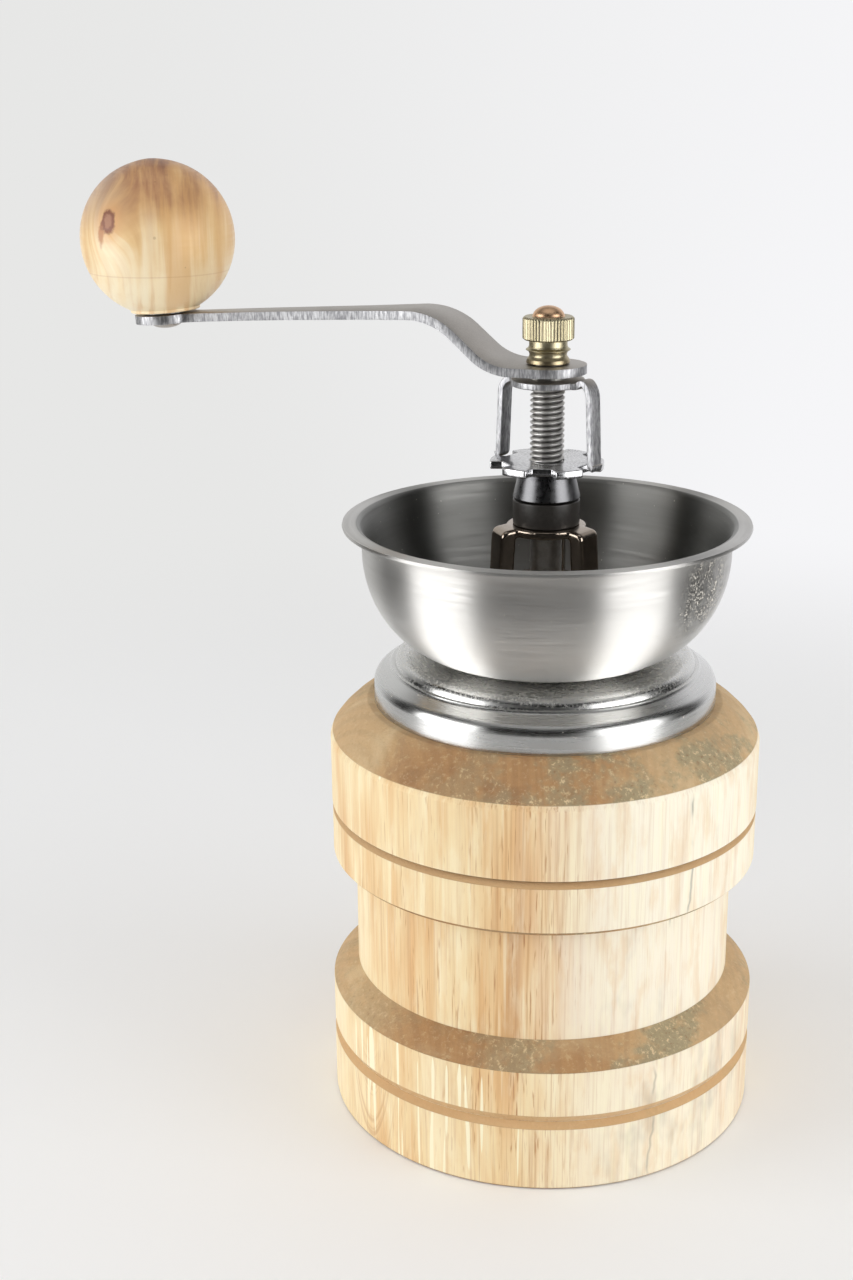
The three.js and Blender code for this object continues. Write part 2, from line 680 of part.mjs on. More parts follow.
function innerBurr() {
  const bandTop = outerBurrBottom + BURR_BAND_HEIGHT;
  const bore = shaftRadius;
  const wide = bandRadius(outerBurrBottom) - BURR_GAP;
  const crusher = (bandRadius(bandTop) + INNER_BURR_TOP_RADIUS) / 2;
  const outline = closed([
    [bore, innerBurrBottom, 0],
    [wide - INNER_BURR_FOOT_STEP, innerBurrBottom, 0],
    [wide, outerBurrBottom, -TOOTH_DEPTH],
    [bandRadius(bandTop) - BURR_GAP, bandTop, -TOOTH_DEPTH],
    [crusher, (bandTop + innerBurrTop) / 2, -2 * TOOTH_DEPTH],
    [INNER_BURR_TOP_RADIUS, innerBurrTop, 0],
    [bore, innerBurrTop, 0],
  ]);
  const teeth = wavy(outline, BURR_TEETH * BURR_COLUMNS, tooth);
  return cut(teeth, doubleDHole(shaftRadius, SHAFT_FLAT, innerBurrBottom, innerBurrTop));
}

// Shaft, from the stud under the burr to the stud under the thumb nut

function thread(bottom, top) {
  const rows = Math.ceil(((top - bottom) / THREAD_PITCH) * THREAD_ROWS);
  const outline = [[0, bottom, 0]];
  for (let i = 0; i <= rows; i++) {
    const z = bottom + ((top - bottom) * i) / rows;
    outline.push([THREAD_RADIUS, z, -THREAD_DEPTH]);
  }
  outline.push([0, top, 0]);
  const valley = (turn, z) => {
    const phase = fraction(z / THREAD_PITCH - turn);
    return Math.min(1, Math.max(0, 2 * Math.abs(phase - 0.5) * THREAD_FLANK - THREAD_CREST));
  };
  return wavy(outline, THREAD_COLUMNS, valley);
}

// The sections meet face to face, and a core rod passes through them all.
function shaftSteel() {
  const flatsBottom = clipPlateBottom - TOUCH_GAP;
  const crankSeat = crankBottom - TOUCH_GAP;
  const studBottom = crankTop + TOUCH_GAP / 2;
  const burrSeat = innerBurrTop + TOUCH_GAP;
  const bottom = innerBurrBottom - BOTTOM_STUD_LENGTH;
  const top = crankTop + TOP_STUD_LENGTH;
  const core = Math.min(STUD_RADIUS, SHAFT_FLAT, CLIP_FLAT, CRANK_FLAT) - THREAD_DEPTH;
  return join(
    rod(core, bottom + CUT_MARGIN, top - CUT_MARGIN),
    rod(STUD_RADIUS, bottom, innerBurrBottom),
    doubleD(shaftRadius, SHAFT_FLAT, innerBurrBottom, burrSeat),
    rod(shaftRadius, burrSeat, nutBottom),
    thread(nutBottom, flatsBottom),
    doubleD(THREAD_RADIUS, CLIP_FLAT, flatsBottom, crankSeat),
    doubleD(CRANK_SEAT_RADIUS, CRANK_FLAT, crankSeat, studBottom),
    rod(STUD_RADIUS, studBottom, top),
  );
}

// Adjusting nut and notched disc

function adjustingNut() {
  const outline = closed([
    [shaftHole, nutBottom],
    [NUT_FOOT_RADIUS - NUT_EDGE, nutBottom],
    [NUT_FOOT_RADIUS, nutBottom + NUT_FOOT_HEIGHT],
    [NUT_TOP_RADIUS, nutTop - NUT_EDGE],
    [NUT_TOP_RADIUS - NUT_EDGE, nutTop],
    [shaftHole, nutTop],
  ]);
  return turned(outline, MIDDLE_STEPS);
}

function polar(radius, theta) {
  const angle = THREE.MathUtils.degToRad(theta);
  return new THREE.Vector2(radius * Math.sin(angle), -radius * Math.cos(angle));
}

function notchedDisc() {
  const spacing = 360 / NOTCH_COUNT;
  const mouthHalf = THREE.MathUtils.radToDeg(Math.asin(NOTCH_MOUTH_WIDTH / 2 / DISC_RADIUS));
  const floorHalf = THREE.MathUtils.radToDeg(Math.atan(NOTCH_FLOOR_WIDTH / 2 / NOTCH_FLOOR_RADIUS));
  const floorCorner = Math.hypot(NOTCH_FLOOR_WIDTH / 2, NOTCH_FLOOR_RADIUS);
  const points = [];
  for (let i = 0; i < NOTCH_COUNT; i++) {
    const notch = FIRST_NOTCH + spacing * i;
    points.push(polar(floorCorner, notch - floorHalf), polar(floorCorner, notch + floorHalf));
    for (let k = 0; k <= LOBE_STEPS; k++) {
      const share = k / LOBE_STEPS;
      points.push(polar(DISC_RADIUS, notch + mouthHalf + (spacing - 2 * mouthHalf) * share));
    }
  }
  const hole = rod(shaftHole, discBottom - CUT_MARGIN, discTop + CUT_MARGIN);
  return cut(plate(new THREE.Shape(points), discBottom, DISC_THICKNESS), hole);
}

// Lock clip: a round plate with two straps that bend down into the disc's notches

// A strap with a hump rises over the plate just outside the crank's eye before it bends down.
function clipStrap(theta, hump) {
  const top = clipPlateTop + hump;
  const root = CLIP_PLATE_RADIUS - CLIP_STRAP_ROOT;
  const bendCentre = CLIP_LEG_REACH - CLIP_BEND_RADIUS;
  const innerBend = CLIP_BEND_RADIUS - CLIP_THICKNESS;
  const toe = discTop - CLIP_TOE_DEPTH;
  const humpEdge = CRANK_EYE_RADIUS + SLIP_GAP;
  const rise = hump ? [[humpEdge + CLIP_RAMP_SETBACK - CLIP_HUMP_RAMP, clipPlateTop],
    [humpEdge + CLIP_RAMP_SETBACK + CLIP_HUMP_RAMP, top]] : [];
  const outside = [
    [root, clipPlateTop],
    ...rise,
    ...arc(bendCentre, top - CLIP_BEND_RADIUS, CLIP_BEND_RADIUS, CLIP_BEND_RADIUS, 90, 0, CROWN_ARC_STEPS),
    [CLIP_LEG_REACH, toe],
  ];
  const inside = [
    [CLIP_LEG_REACH - CLIP_THICKNESS, toe],
    ...arc(bendCentre, top - CLIP_BEND_RADIUS, innerBend, innerBend, 0, 90, EDGE_ARC_STEPS),
    [bendCentre - CLIP_INNER_CORNER, clipPlateBottom],
    [root, clipPlateBottom],
  ];
  return upright([...outside, ...inside].reverse(), CLIP_LEG_WIDTH, theta);
}

function lockClip() {
  const [frontRight, backLeft] = CLIP_LEG_ANGLES;
  const top = rod(CLIP_PLATE_RADIUS, clipPlateBottom, clipPlateTop, MIDDLE_STEPS);
  const whole = join(top, clipStrap(frontRight, CLIP_HUMP), clipStrap(backLeft, 0));
  return cut(whole, doubleDHole(THREAD_RADIUS, CLIP_FLAT, clipPlateBottom, clipPlateTop));
}

// Crank arm: a flat strip, bent in side view and tapered in plan

// Walks along a bent strip: each move is a bend of [degrees, radius] or a straight run of [0, length].
// Returns the places passed as [distance, height, heading in degrees].
function walk(start, moves) {
  const places = [start];
  moves.forEach(([degrees, size]) => {
    const steps = Math.max(1, Math.ceil(Math.abs(degrees) / BEND_STEP));
    const length = degrees ? size * THREE.MathUtils.degToRad(Math.abs(degrees)) : size;
    const turn = THREE.MathUtils.degToRad(degrees / steps / 2);
    const chord = degrees ? (length / steps) * (Math.sin(turn) / turn) : length;
    for (let i = 0; i < steps; i++) {
      const [x, z, heading] = places.at(-1);
      const middle = THREE.MathUtils.degToRad(heading) + turn;
      places.push([x + chord * Math.cos(middle), z + chord * Math.sin(middle), heading + degrees / steps]);
    }
  });
  return places;
}

// The middle of the strip's thickness, from the shaft to the middle of the knob's eye.
function crankPlaces() {
  const { degToRad } = THREE.MathUtils;
  const bend = degToRad(CRANK_BEND_ANGLE);
  const bendRise = (CRANK_LOW_BEND_RADIUS + CRANK_HIGH_BEND_RADIUS) * (1 - Math.cos(bend));
  const tipBend = CRANK_TIP_TILT - CRANK_SLOPE;
  const tipRun = CRANK_TIP_CURVE * Math.cos(degToRad((CRANK_TIP_TILT + CRANK_SLOPE) / 2));
  const toTop = walk([0, crankBottom + CRANK_THICKNESS / 2, 0], [
    [0, CRANK_BEND_START],
    [CRANK_BEND_ANGLE, CRANK_LOW_BEND_RADIUS],
    [0, (CRANK_RISE - bendRise) / Math.sin(bend)],
    [-CRANK_BEND_ANGLE - CRANK_SLOPE, CRANK_HIGH_BEND_RADIUS],
  ]);
  const eyeRun = KNOB_EYE_RADIUS * Math.cos(degToRad(CRANK_TIP_TILT));
  const levelRun = CRANK_REACH - toTop.at(-1)[0] - tipRun - eyeRun;
  const onward = walk(toTop.at(-1), [
    [0, levelRun / Math.cos(degToRad(CRANK_SLOPE))],
    [-tipBend, CRANK_TIP_CURVE / degToRad(tipBend)],
    [0, KNOB_EYE_RADIUS],
  ]);
  return [...toTop, ...onward.slice(1)];
}

// The strip's side view as a closed outline that runs past both ends.
function crankSide() {
  const places = crankPlaces();
  const past = KNOB_EYE_RADIUS + CUT_MARGIN;
  const [, , tipHeading] = places.at(-1);
  const tip = walk(places.at(-1), [[0, past]]).at(-1);
  const shaftEnd = [-(CRANK_EYE_RADIUS + CUT_MARGIN), places[0][1], 0];
  const line = [shaftEnd, ...places.slice(1), [tip[0], tip[1], tipHeading]];
  const face = (side) => line.map(([x, z, heading]) => {
    const angle = THREE.MathUtils.degToRad(heading);
    const offset = (side * CRANK_THICKNESS) / 2;
    return new THREE.Vector2(-x + offset * Math.sin(angle), z + offset * Math.cos(angle));
  });
  return new THREE.Shape([...face(1), ...face(-1).reverse()]);
}

// The strip's outline seen from above, as a solid through all its heights.
function crankOutline() {
  const neck = CRANK_REACH - KNOB_EYE_RADIUS;
  const rootMiddle = (CRANK_ROOT_END + CRANK_WAIST_PLACE) / 2;
  const neckMiddle = (CRANK_WAIST_PLACE + neck) / 2;
  const widths = [
    [0, CRANK_EYE_RADIUS * 2],
    [CRANK_ROOT_END, CRANK_ROOT_WIDTH],
    [rootMiddle, (CRANK_ROOT_WIDTH + CRANK_WAIST_WIDTH) / 2 - CRANK_ROOT_HOLLOW],
    [CRANK_WAIST_PLACE, CRANK_WAIST_WIDTH],
    [neckMiddle, (CRANK_WAIST_WIDTH + CRANK_NECK_WIDTH) / 2 - CRANK_NECK_HOLLOW],
    [neck, CRANK_NECK_WIDTH],
  ];
  const side = new THREE.SplineCurve(widths.map(([x, w]) => new THREE.Vector2(-x, -w / 2)));
  const tip = new THREE.Vector2(-CRANK_REACH, -CRANK_NECK_WIDTH / 2);
  const front = [...side.getPoints(CRANK_OUTLINE_STEPS), tip];
  const back = front.map(({ x, y }) => new THREE.Vector2(x, -y)).reverse();
  const strip = new THREE.Shape([...front, ...back]);
  const bottom = crankBottom - CRANK_RISE;
  const height = 3 * CRANK_RISE;
  const shaftEye = rod(CRANK_EYE_RADIUS, bottom, bottom + height, MIDDLE_STEPS);
  const knobEye = rod(KNOB_EYE_RADIUS, bottom, bottom + height, MIDDLE_STEPS);
  return join(plate(strip, bottom, height), shaftEye, knobEye.translate(-CRANK_REACH, 0, 0));
}

function crankArm() {
  const width = 2 * CRANK_EYE_RADIUS + CUT_MARGIN;
  const strip = plate(crankSide(), -width / 2, width).rotateX(Math.PI / 2);
  const knobHole = rod(KNOB_SCREW_RADIUS + RUN_GAP, -KNOB_EYE_RADIUS, KNOB_EYE_RADIUS);
  knobHole.applyMatrix4(knobFrame.matrix);
  return cut(
    overlap(strip, crankOutline()),
    doubleDHole(CRANK_SEAT_RADIUS, CRANK_FLAT, crankBottom, crankTop),
    knobHole,
  );
}

// Where the knob stands: the middle of the eye's top face, square to that face.
function knobPlace() {
  const tilt = THREE.MathUtils.degToRad(CRANK_TIP_TILT);
  const [x, z] = crankPlaces().at(-1);
  const up = CRANK_THICKNESS / 2;
  const group = new THREE.Group();
  group.position.set(-x - up * Math.sin(tilt), 0, z + up * Math.cos(tilt));
  group.rotation.set(0, -tilt, 0);
  group.updateMatrix();
  return group;
}

// Thumb nut, blind from below

function thumbNut() {
  const bottom = crankTop + TOUCH_GAP;
  const bore = STUD_RADIUS + RUN_GAP;
  const boreTop = crankTop + TOP_STUD_LENGTH + TOUCH_GAP;
  const stem = bottom + THUMB_STEM_HEIGHT;
  const top = stem + THUMB_KNURL_HEIGHT;
  const dome = arc(0, top, THUMB_DOME_RADIUS, THUMB_DOME_HEIGHT, 0, 90, CROWN_ARC_STEPS).slice(0, -1);
  const outline = [
    [0, boreTop, 0],
    [bore, boreTop, 0],
    [bore, bottom, 0],
    [THUMB_BASE_RADIUS, bottom, 0],
    [THUMB_BASE_RADIUS, bottom + THUMB_BASE_HEIGHT, 0],
    [THUMB_HOLLOW_RADIUS, bottom + THUMB_STEM_HEIGHT * THUMB_HOLLOW_SHARE, 0],
    [THUMB_RING_RADIUS, bottom + THUMB_STEM_HEIGHT * THUMB_RING_SHARE, 0],
    [THUMB_NECK_RADIUS, bottom + THUMB_STEM_HEIGHT * THUMB_NECK_SHARE, 0],
    [THUMB_NECK_RADIUS, stem, 0],
    [THUMB_KNURL_RADIUS - THUMB_EDGE, stem, 0],
    [THUMB_KNURL_RADIUS, stem + THUMB_EDGE, THUMB_FLUTE_DEPTH],
    [THUMB_KNURL_RADIUS, top - THUMB_EDGE, THUMB_FLUTE_DEPTH],
    [THUMB_KNURL_RADIUS - THUMB_EDGE, top, 0],
    ...dome.map(([r, z]) => [r, z, 0]),
    [0, top + THUMB_DOME_HEIGHT, 0],
  ];
  return wavy(outline, THUMB_FLUTES * 2, (turn) => -2 * fraction(turn * THUMB_FLUTES));
}

// Knob pieces, in the knob's own frame

function knobWood() {
  const neckTop = knobBase + KNOB_NECK_HEIGHT;
  const centre = neckTop + Math.sqrt(KNOB_RADIUS ** 2 - KNOB_NECK_RADIUS ** 2);
  const startAngle = -THREE.MathUtils.radToDeg(Math.acos(KNOB_NECK_RADIUS / KNOB_RADIUS));
  const hole = INSERT_RADIUS + TOUCH_GAP;
  return turned([
    [0, knobBase + KNOB_HOLE_DEPTH],
    [hole, knobBase + KNOB_HOLE_DEPTH],
    [hole, knobBase],
    [KNOB_NECK_RADIUS - WOOD_EDGE / 2, knobBase],
    [KNOB_NECK_RADIUS, knobBase + WOOD_EDGE / 2],
    ...arc(0, centre, KNOB_RADIUS, KNOB_RADIUS, startAngle, 90, KNOB_ARC_STEPS).slice(0, -1),
    [0, centre + KNOB_RADIUS],
  ], MIDDLE_STEPS);
}

function knobInsert() {
  const bore = KNOB_SCREW_RADIUS + TOUCH_GAP;
  return ring(bore, INSERT_RADIUS, insertBottom, insertBottom + INSERT_LENGTH);
}

function knobWasher() {
  const bore = KNOB_SCREW_RADIUS + RUN_GAP;
  return ring(bore, KNOB_WASHER_RADIUS, knobWasherBottom, knobWasherBottom + KNOB_WASHER_THICKNESS);
}

function knobScrew() {
  const headTop = -CRANK_THICKNESS - RUN_GAP;
  const crown = arc(0, headTop, KNOB_SCREW_HEAD_RADIUS, KNOB_SCREW_HEAD_HEIGHT, -90, 0, CROWN_ARC_STEPS);
  return turned([
    [0, headTop - KNOB_SCREW_HEAD_HEIGHT],
    ...crown.slice(1),
    [KNOB_SCREW_RADIUS, headTop],
    [KNOB_SCREW_RADIUS, INSERT_LENGTH],
    [0, INSERT_LENGTH],
  ], SMALL_STEPS);
}

// Housing screws, midway between the arms

function screwAngles() {
  return ARM_ANGLES.map((angle) => angle + 180 / ARM_ANGLES.length);
}

function screwHoles(bottom, top) {
  return screwAngles().map((theta) => {
    const hole = rod(screwHole, bottom - CUT_MARGIN, top + CUT_MARGIN, SCREW_HOLE_STEPS);
    return turnedTo(hole.translate(0, -screwCircle, 0), theta);
  });
}

function housingScrew() {
  const seat = housingScrewSeat;
  const radius = HOUSING_SCREW_HEAD_RADIUS;
  const head = arc(0, seat, radius, HOUSING_SCREW_HEAD_HEIGHT, 0, 90, EDGE_ARC_STEPS).slice(0, -1);
  const body = turned([
    [0, seat - HOUSING_SCREW_LENGTH],
    [HOUSING_SCREW_RADIUS, seat - HOUSING_SCREW_LENGTH + HOUSING_SCREW_TIP],
    [HOUSING_SCREW_RADIUS, seat],
    ...head,
    [0, seat + HOUSING_SCREW_HEAD_HEIGHT],
  ], SCREW_STEPS);
  const slot = new THREE.BoxGeometry(3 * radius, SCREW_SLOT, HOUSING_SCREW_HEAD_HEIGHT);
  return cut(body, slot.translate(0, 0, seat + HOUSING_SCREW_HEAD_HEIGHT));
}

// Spring, washers and nut under and over the inner burr

function burrSpring() {
  const height = springTop - springBottom - SPRING_WIRE;
  const steps = SPRING_TURNS * SPRING_STEPS;
  const points = [];
  for (let i = 0; i <= steps; i++) {
    const angle = (2 * Math.PI * i) / SPRING_STEPS;
    const z = springBottom + SPRING_WIRE / 2 + (height * i) / steps;
    points.push(new THREE.Vector3(springRadius * Math.cos(angle), springRadius * Math.sin(angle), z));
  }
  reportSpringGap(points);
  const corners = [];
  for (let i = 0; i < SPRING_SIDES; i++) {
    corners.push(polar(SPRING_WIRE / 2, (360 * i) / SPRING_SIDES));
  }
  const path = new THREE.CatmullRomCurve3(points);
  const settings = { steps, bevelEnabled: false, extrudePath: path };
  return new THREE.ExtrudeGeometry(new THREE.Shape(corners), settings);
}

// Prints the least gap between one turn of the spring and the next.
function reportSpringGap(points) {
  let least = Infinity;
  points.forEach((a, i) => {
    points.slice(i + SPRING_STEPS / 2).forEach((b) => {
      least = Math.min(least, a.distanceTo(b) - SPRING_WIRE);
    });
  });
  console.log("burr_spring: least gap between turns " + least.toFixed(2) + " mm");
}

function springWasher() {
  const bottom = innerBurrTop + TOUCH_GAP;
  return ring(shaftHole, washerRadius, bottom, bottom + WASHER_THICKNESS);
}

function burrWasher() {
  const bore = STUD_RADIUS + RUN_GAP;
  return ring(bore, washerRadius, washerBottom, washerBottom + WASHER_THICKNESS);
}

function burrNut() {
  const corner = BURR_NUT_FLATS / 2 / Math.cos(Math.PI / 6);
  const bottom = burrNutTop - BURR_NUT_HEIGHT;
  const hex = turned([[0, bottom], [corner, bottom], [corner, burrNutTop], [0, burrNutTop]], 6);
  return cut(hex, rod(STUD_RADIUS + RUN_GAP, bottom - CUT_MARGIN, burrNutTop + CUT_MARGIN));
}

const knobFrame = knobPlace();
root.add(knobFrame);

add("container", containerWood(), "lightWood");
add("top_ring", topRingWood(), "darkWood");
add("flange", flangeSteel(), "brushedSteel");
add("hopper_bowl", bowlSteel(), "brushedSteel");
add("burr_housing", burrHousing(), "castMetal");
add("outer_burr", outerBurr(), "burrSteel");
add("top_bush", topBush(), "blackPlastic");
add("guide_bush", guideBush(), "blackPlastic");
screwAngles().forEach((theta, i) => {
  const screw = add("housing_screw_" + (i + 1), housingScrew(), "plainSteel");
  const place = polar(screwCircle, theta);
  screw.position.set(place.x, place.y, 0);
  screw.rotation.z = THREE.MathUtils.degToRad(theta * 2);
});
add("adjusting_nut", adjustingNut(), "chrome");
add("notched_disc", notchedDisc(), "chrome");
add("shaft", shaftSteel(), "plainSteel");
add("inner_burr", innerBurr(), "burrSteel");
add("burr_spring", burrSpring(), "plainSteel");
add("spring_washer", springWasher(), "plainSteel");
add("burr_washer", burrWasher(), "plainSteel");
add("burr_nut", burrNut(), "plainSteel");
add("lock_clip", lockClip(), "plainSteel");
add("crank_arm", crankArm(), "plainSteel");
add("thumb_nut", thumbNut(), "brass");
add("knob", knobWood(), "knobWood", knobFrame);
add("knob_insert", knobInsert(), "brass", knobFrame);
add("knob_washer", knobWasher(), "plainSteel", knobFrame);
add("knob_screw", knobScrew(), "plainSteel", knobFrame);

export default root;
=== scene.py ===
"""Looks of the manual coffee grinder: fine meshes, finishes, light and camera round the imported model.

Lengths in this script are millimetres, and MM turns them into Blender's metres. Angles called theta
are degrees round the shaft from the front (-Y) towards +X, as in the CAD model.
"""
import json
import math
from types import SimpleNamespace

import bmesh
import bpy
import numpy as np
from mathutils import Matrix, Vector


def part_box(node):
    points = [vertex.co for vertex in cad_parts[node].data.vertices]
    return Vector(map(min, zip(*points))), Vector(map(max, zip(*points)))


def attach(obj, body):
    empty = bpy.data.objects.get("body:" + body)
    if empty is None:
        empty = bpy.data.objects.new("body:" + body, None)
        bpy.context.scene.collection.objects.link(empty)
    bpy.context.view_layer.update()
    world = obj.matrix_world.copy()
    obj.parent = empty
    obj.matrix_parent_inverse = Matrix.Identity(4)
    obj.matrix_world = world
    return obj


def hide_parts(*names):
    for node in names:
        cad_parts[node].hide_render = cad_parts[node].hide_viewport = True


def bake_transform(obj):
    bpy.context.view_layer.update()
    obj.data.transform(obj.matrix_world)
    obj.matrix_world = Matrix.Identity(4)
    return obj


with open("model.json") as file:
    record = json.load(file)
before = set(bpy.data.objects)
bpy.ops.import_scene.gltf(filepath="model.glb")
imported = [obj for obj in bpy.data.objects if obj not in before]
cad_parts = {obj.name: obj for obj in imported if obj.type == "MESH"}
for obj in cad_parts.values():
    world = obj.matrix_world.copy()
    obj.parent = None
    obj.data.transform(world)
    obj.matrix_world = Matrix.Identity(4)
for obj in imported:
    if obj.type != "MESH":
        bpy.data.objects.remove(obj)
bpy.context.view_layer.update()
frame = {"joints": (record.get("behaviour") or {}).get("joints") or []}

MM = 0.001

# Camera: where the photograph was taken from, in the part's frame
PHOTO_HEIGHT = 1280
FOCAL_PIXELS = 1820
SENSOR_HEIGHT = 36
CAMERA_PLACE = (106.6, -398.0, 249.3)
CAMERA_HEADING = 18.9
CAMERA_PITCH = 17.93
CAMERA_ROLL = -0.51


def linked(name, data):
    """A new object in the scene, at the origin."""
    made = bpy.data.objects.new(name, data)
    bpy.context.scene.collection.objects.link(made)
    return made


def add_camera():
    data = bpy.data.cameras.new("camera")
    data.sensor_fit = "VERTICAL"
    data.sensor_height = SENSOR_HEIGHT
    data.lens = FOCAL_PIXELS / PHOTO_HEIGHT * SENSOR_HEIGHT
    data.clip_start = 0.01
    camera = linked("camera", data)
    heading = Matrix.Rotation(math.radians(CAMERA_HEADING), 4, "Z")
    pitch = Matrix.Rotation(math.radians(90 - CAMERA_PITCH), 4, "X")
    roll = Matrix.Rotation(math.radians(CAMERA_ROLL), 4, "Z")
    place = Matrix.Translation(Vector(CAMERA_PLACE) * MM)
    camera.matrix_world = place @ heading @ pitch @ roll
    bpy.context.scene.camera = camera


add_camera()


# Where the frame's pieces stand

def heights(node):
    """The lowest and highest point of a CAD node, in millimetres."""
    low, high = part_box(node)
    return low.z / MM, high.z / MM


def reach(node):
    """The largest distance of a round CAD node from the shaft's axis, in millimetres."""
    low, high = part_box(node)
    return max(high.x, high.y, -low.x, -low.y) / MM


def joint(name):
    return next(j for j in frame["joints"] if j["name"] == name)


# Outlines: lists of (radius, height) points, or (radius, height, rounding)

def arc(centre, radii, start, end, steps):
    """Points on an arc between two angles in degrees."""
    angles = [math.radians(start + (end - start) * i / steps) for i in range(steps + 1)]
    return [(centre[0] + radii[0] * math.cos(a), centre[1] + radii[1] * math.sin(a)) for a in angles]


def rounded(points, steps=5, loop=False):
    """Rounds each corner that has a third value, which is its radius."""
    result = []
    count = len(points)
    for i, point in enumerate(points):
        radius = point[2] if len(point) > 2 else 0
        corner = Vector(point[:2])
        if radius <= 0 or (not loop and i in (0, count - 1)):
            result.append(tuple(corner))
            continue
        back = Vector(points[i - 1][:2]) - corner
        on = Vector(points[(i + 1) % count][:2]) - corner
        half = back.angle(on) / 2
        cut = min(radius / math.tan(half), 0.48 * back.length, 0.48 * on.length)
        start = corner + back.normalized() * cut
        end = corner + on.normalized() * cut
        for k in range(steps + 1):
            t = k / steps
            result.append(tuple(start * (1 - t) ** 2 + corner * 2 * t * (1 - t) + end * t ** 2))
    return result


def sheet_outline(line, thickness):
    """A sheet's closed outline: its outer line, and that line moved to its left by the thickness."""
    moved = []
    for i, (r, z) in enumerate(line):
        before = Vector(line[max(i - 1, 0)])
        after = Vector(line[min(i + 1, len(line) - 1)])
        along = (after - before).normalized()
        moved.append((r - along.y * thickness, z + along.x * thickness))
    return line + moved[::-1]


# Meshes

def new_object(name, vertices, faces):
    """An object from vertices in millimetres."""
    mesh = bpy.data.meshes.new(name)
    mesh.from_pydata([tuple(c * MM for c in v) for v in vertices], [], faces)
    mesh.validate()
    return linked(name, mesh)


def shade(piece, sharp=35):
    """Smooth shading, except across edges over the sharp angle."""
    piece.data.shade_smooth()
    piece.data.set_sharp_from_angle(angle=math.radians(sharp))


def closed(piece, sharp=35, merge=1e-7, fill=False):
    """Merges points closer than merge, in metres, turns faces outwards and shades. fill closes open ends."""
    work = bmesh.new()
    work.from_mesh(piece.data)
    bmesh.ops.remove_doubles(work, verts=work.verts, dist=merge)
    if fill:
        bmesh.ops.dissolve_degenerate(work, edges=work.edges, dist=1e-7)
        bmesh.ops.holes_fill(work, edges=work.edges, sides=0)
    bmesh.ops.recalc_face_normals(work, faces=work.faces)
    work.to_mesh(piece.data)
    work.free()
    shade(piece, sharp)
    return piece


def lathe(name, outline, steps, loop=False, wave=None, sharp=35):
    """Turns an outline about the vertical axis. wave(angle, r, z) adds to the radius."""
    vertices = []
    rings = []
    for r, z in outline:
        first = len(vertices)
        if r <= 1e-6:
            vertices.append((0, 0, z))
            rings.append([first] * steps)
            continue
        rings.append(range(first, first + steps))
        for angle in [2 * math.pi * j / steps for j in range(steps)]:
            radius = r + (wave(angle, r, z) if wave else 0)
            vertices.append((radius * math.cos(angle), radius * math.sin(angle), z))
    faces = []
    for a, b in zip(rings, rings[1:] + rings[:loop]):
        for j in range(steps):
            k = (j + 1) % steps
            corners = tuple(dict.fromkeys((a[j], a[k], b[k], b[j])))
            if len(corners) > 2:
                faces.append(corners)
    return closed(new_object(name, vertices, faces), sharp)


def evaluated_mesh(piece):
    graph = bpy.context.evaluated_depsgraph_get()
    return bpy.data.meshes.new_from_object(piece.evaluated_get(graph))


def apply_modifiers(piece):
    mesh = evaluated_mesh(piece)
    piece.modifiers.clear()
    old = piece.data
    piece.data = mesh
    bpy.data.meshes.remove(old)


def bevelled(piece, width, segments=3):
    """Rounds a piece's sharp edges by a width in millimetres."""
    bevel = piece.modifiers.new("bevel", "BEVEL")
    bevel.width = width * MM
    bevel.segments = segments
    bevel.limit_method = "ANGLE"
    bevel.angle_limit = math.radians(40)
    bevel.use_clamp_overlap = True
    apply_modifiers(piece)
    shade(piece)
    return piece


def combined(piece, operation, *tools, sharp=35):
    """Joins the tools to a closed piece, cuts them from it, or keeps what they share."""
    for tool in tools:
        change = piece.modifiers.new("change", "BOOLEAN")
        change.operation = operation
        change.solver = "EXACT"
        change.object = tool
    apply_modifiers(piece)
    for tool in tools:
        mesh = tool.data
        bpy.data.objects.remove(tool)
        bpy.data.meshes.remove(mesh)
    shade(piece, sharp)


def soften(piece, voxel, rounds):
    """Rebuilds a joined mesh on a fine grid and smooths it, which gives its corners cast fillets."""
    grid = piece.modifiers.new("grid", "REMESH")
    grid.mode = "VOXEL"
    grid.voxel_size = voxel * MM
    even = piece.modifiers.new("even", "SMOOTH")
    even.factor = 0.5
    even.iterations = rounds
    apply_modifiers(piece)
    shade(piece, 180)


def prism(name, first, last):
    """A solid between two loops of points."""
    count = len(first)
    sides = [(i, (i + 1) % count, count + (i + 1) % count, count + i) for i in range(count)]
    ends = [tuple(range(count))[::-1], tuple(range(count, 2 * count))]
    return closed(new_object(name, first + last, sides + ends))


def extruded(name, outline, bottom, top):
    """A flat outline of (x, y) points, extruded upwards."""
    return prism(name, [(x, y, bottom) for x, y in outline], [(x, y, top) for x, y in outline])


def circle(radius, steps, centre=(0, 0)):
    angles = [2 * math.pi * i / steps for i in range(steps)]
    return [(centre[0] + radius * math.cos(a), centre[1] + radius * math.sin(a)) for a in angles]


def cylinder(radius, bottom, top, steps=96, centre=(0, 0)):
    return extruded("tool", circle(radius, steps, centre), bottom, top)


def double_d(radius, half_width, bottom, top):
    """A round rod with two flats, for the clip's and the crank's seats."""
    edge = math.asin(min(half_width / radius, 1))
    right = [(radius * math.cos(a), radius * math.sin(a)) for a in np.linspace(-edge, edge, 24)]
    left = [(-x, -y) for x, y in right]
    return extruded("tool", right + left, bottom, top)


def polar(radius, theta):
    angle = math.radians(theta)
    return radius * math.sin(angle), -radius * math.cos(angle)


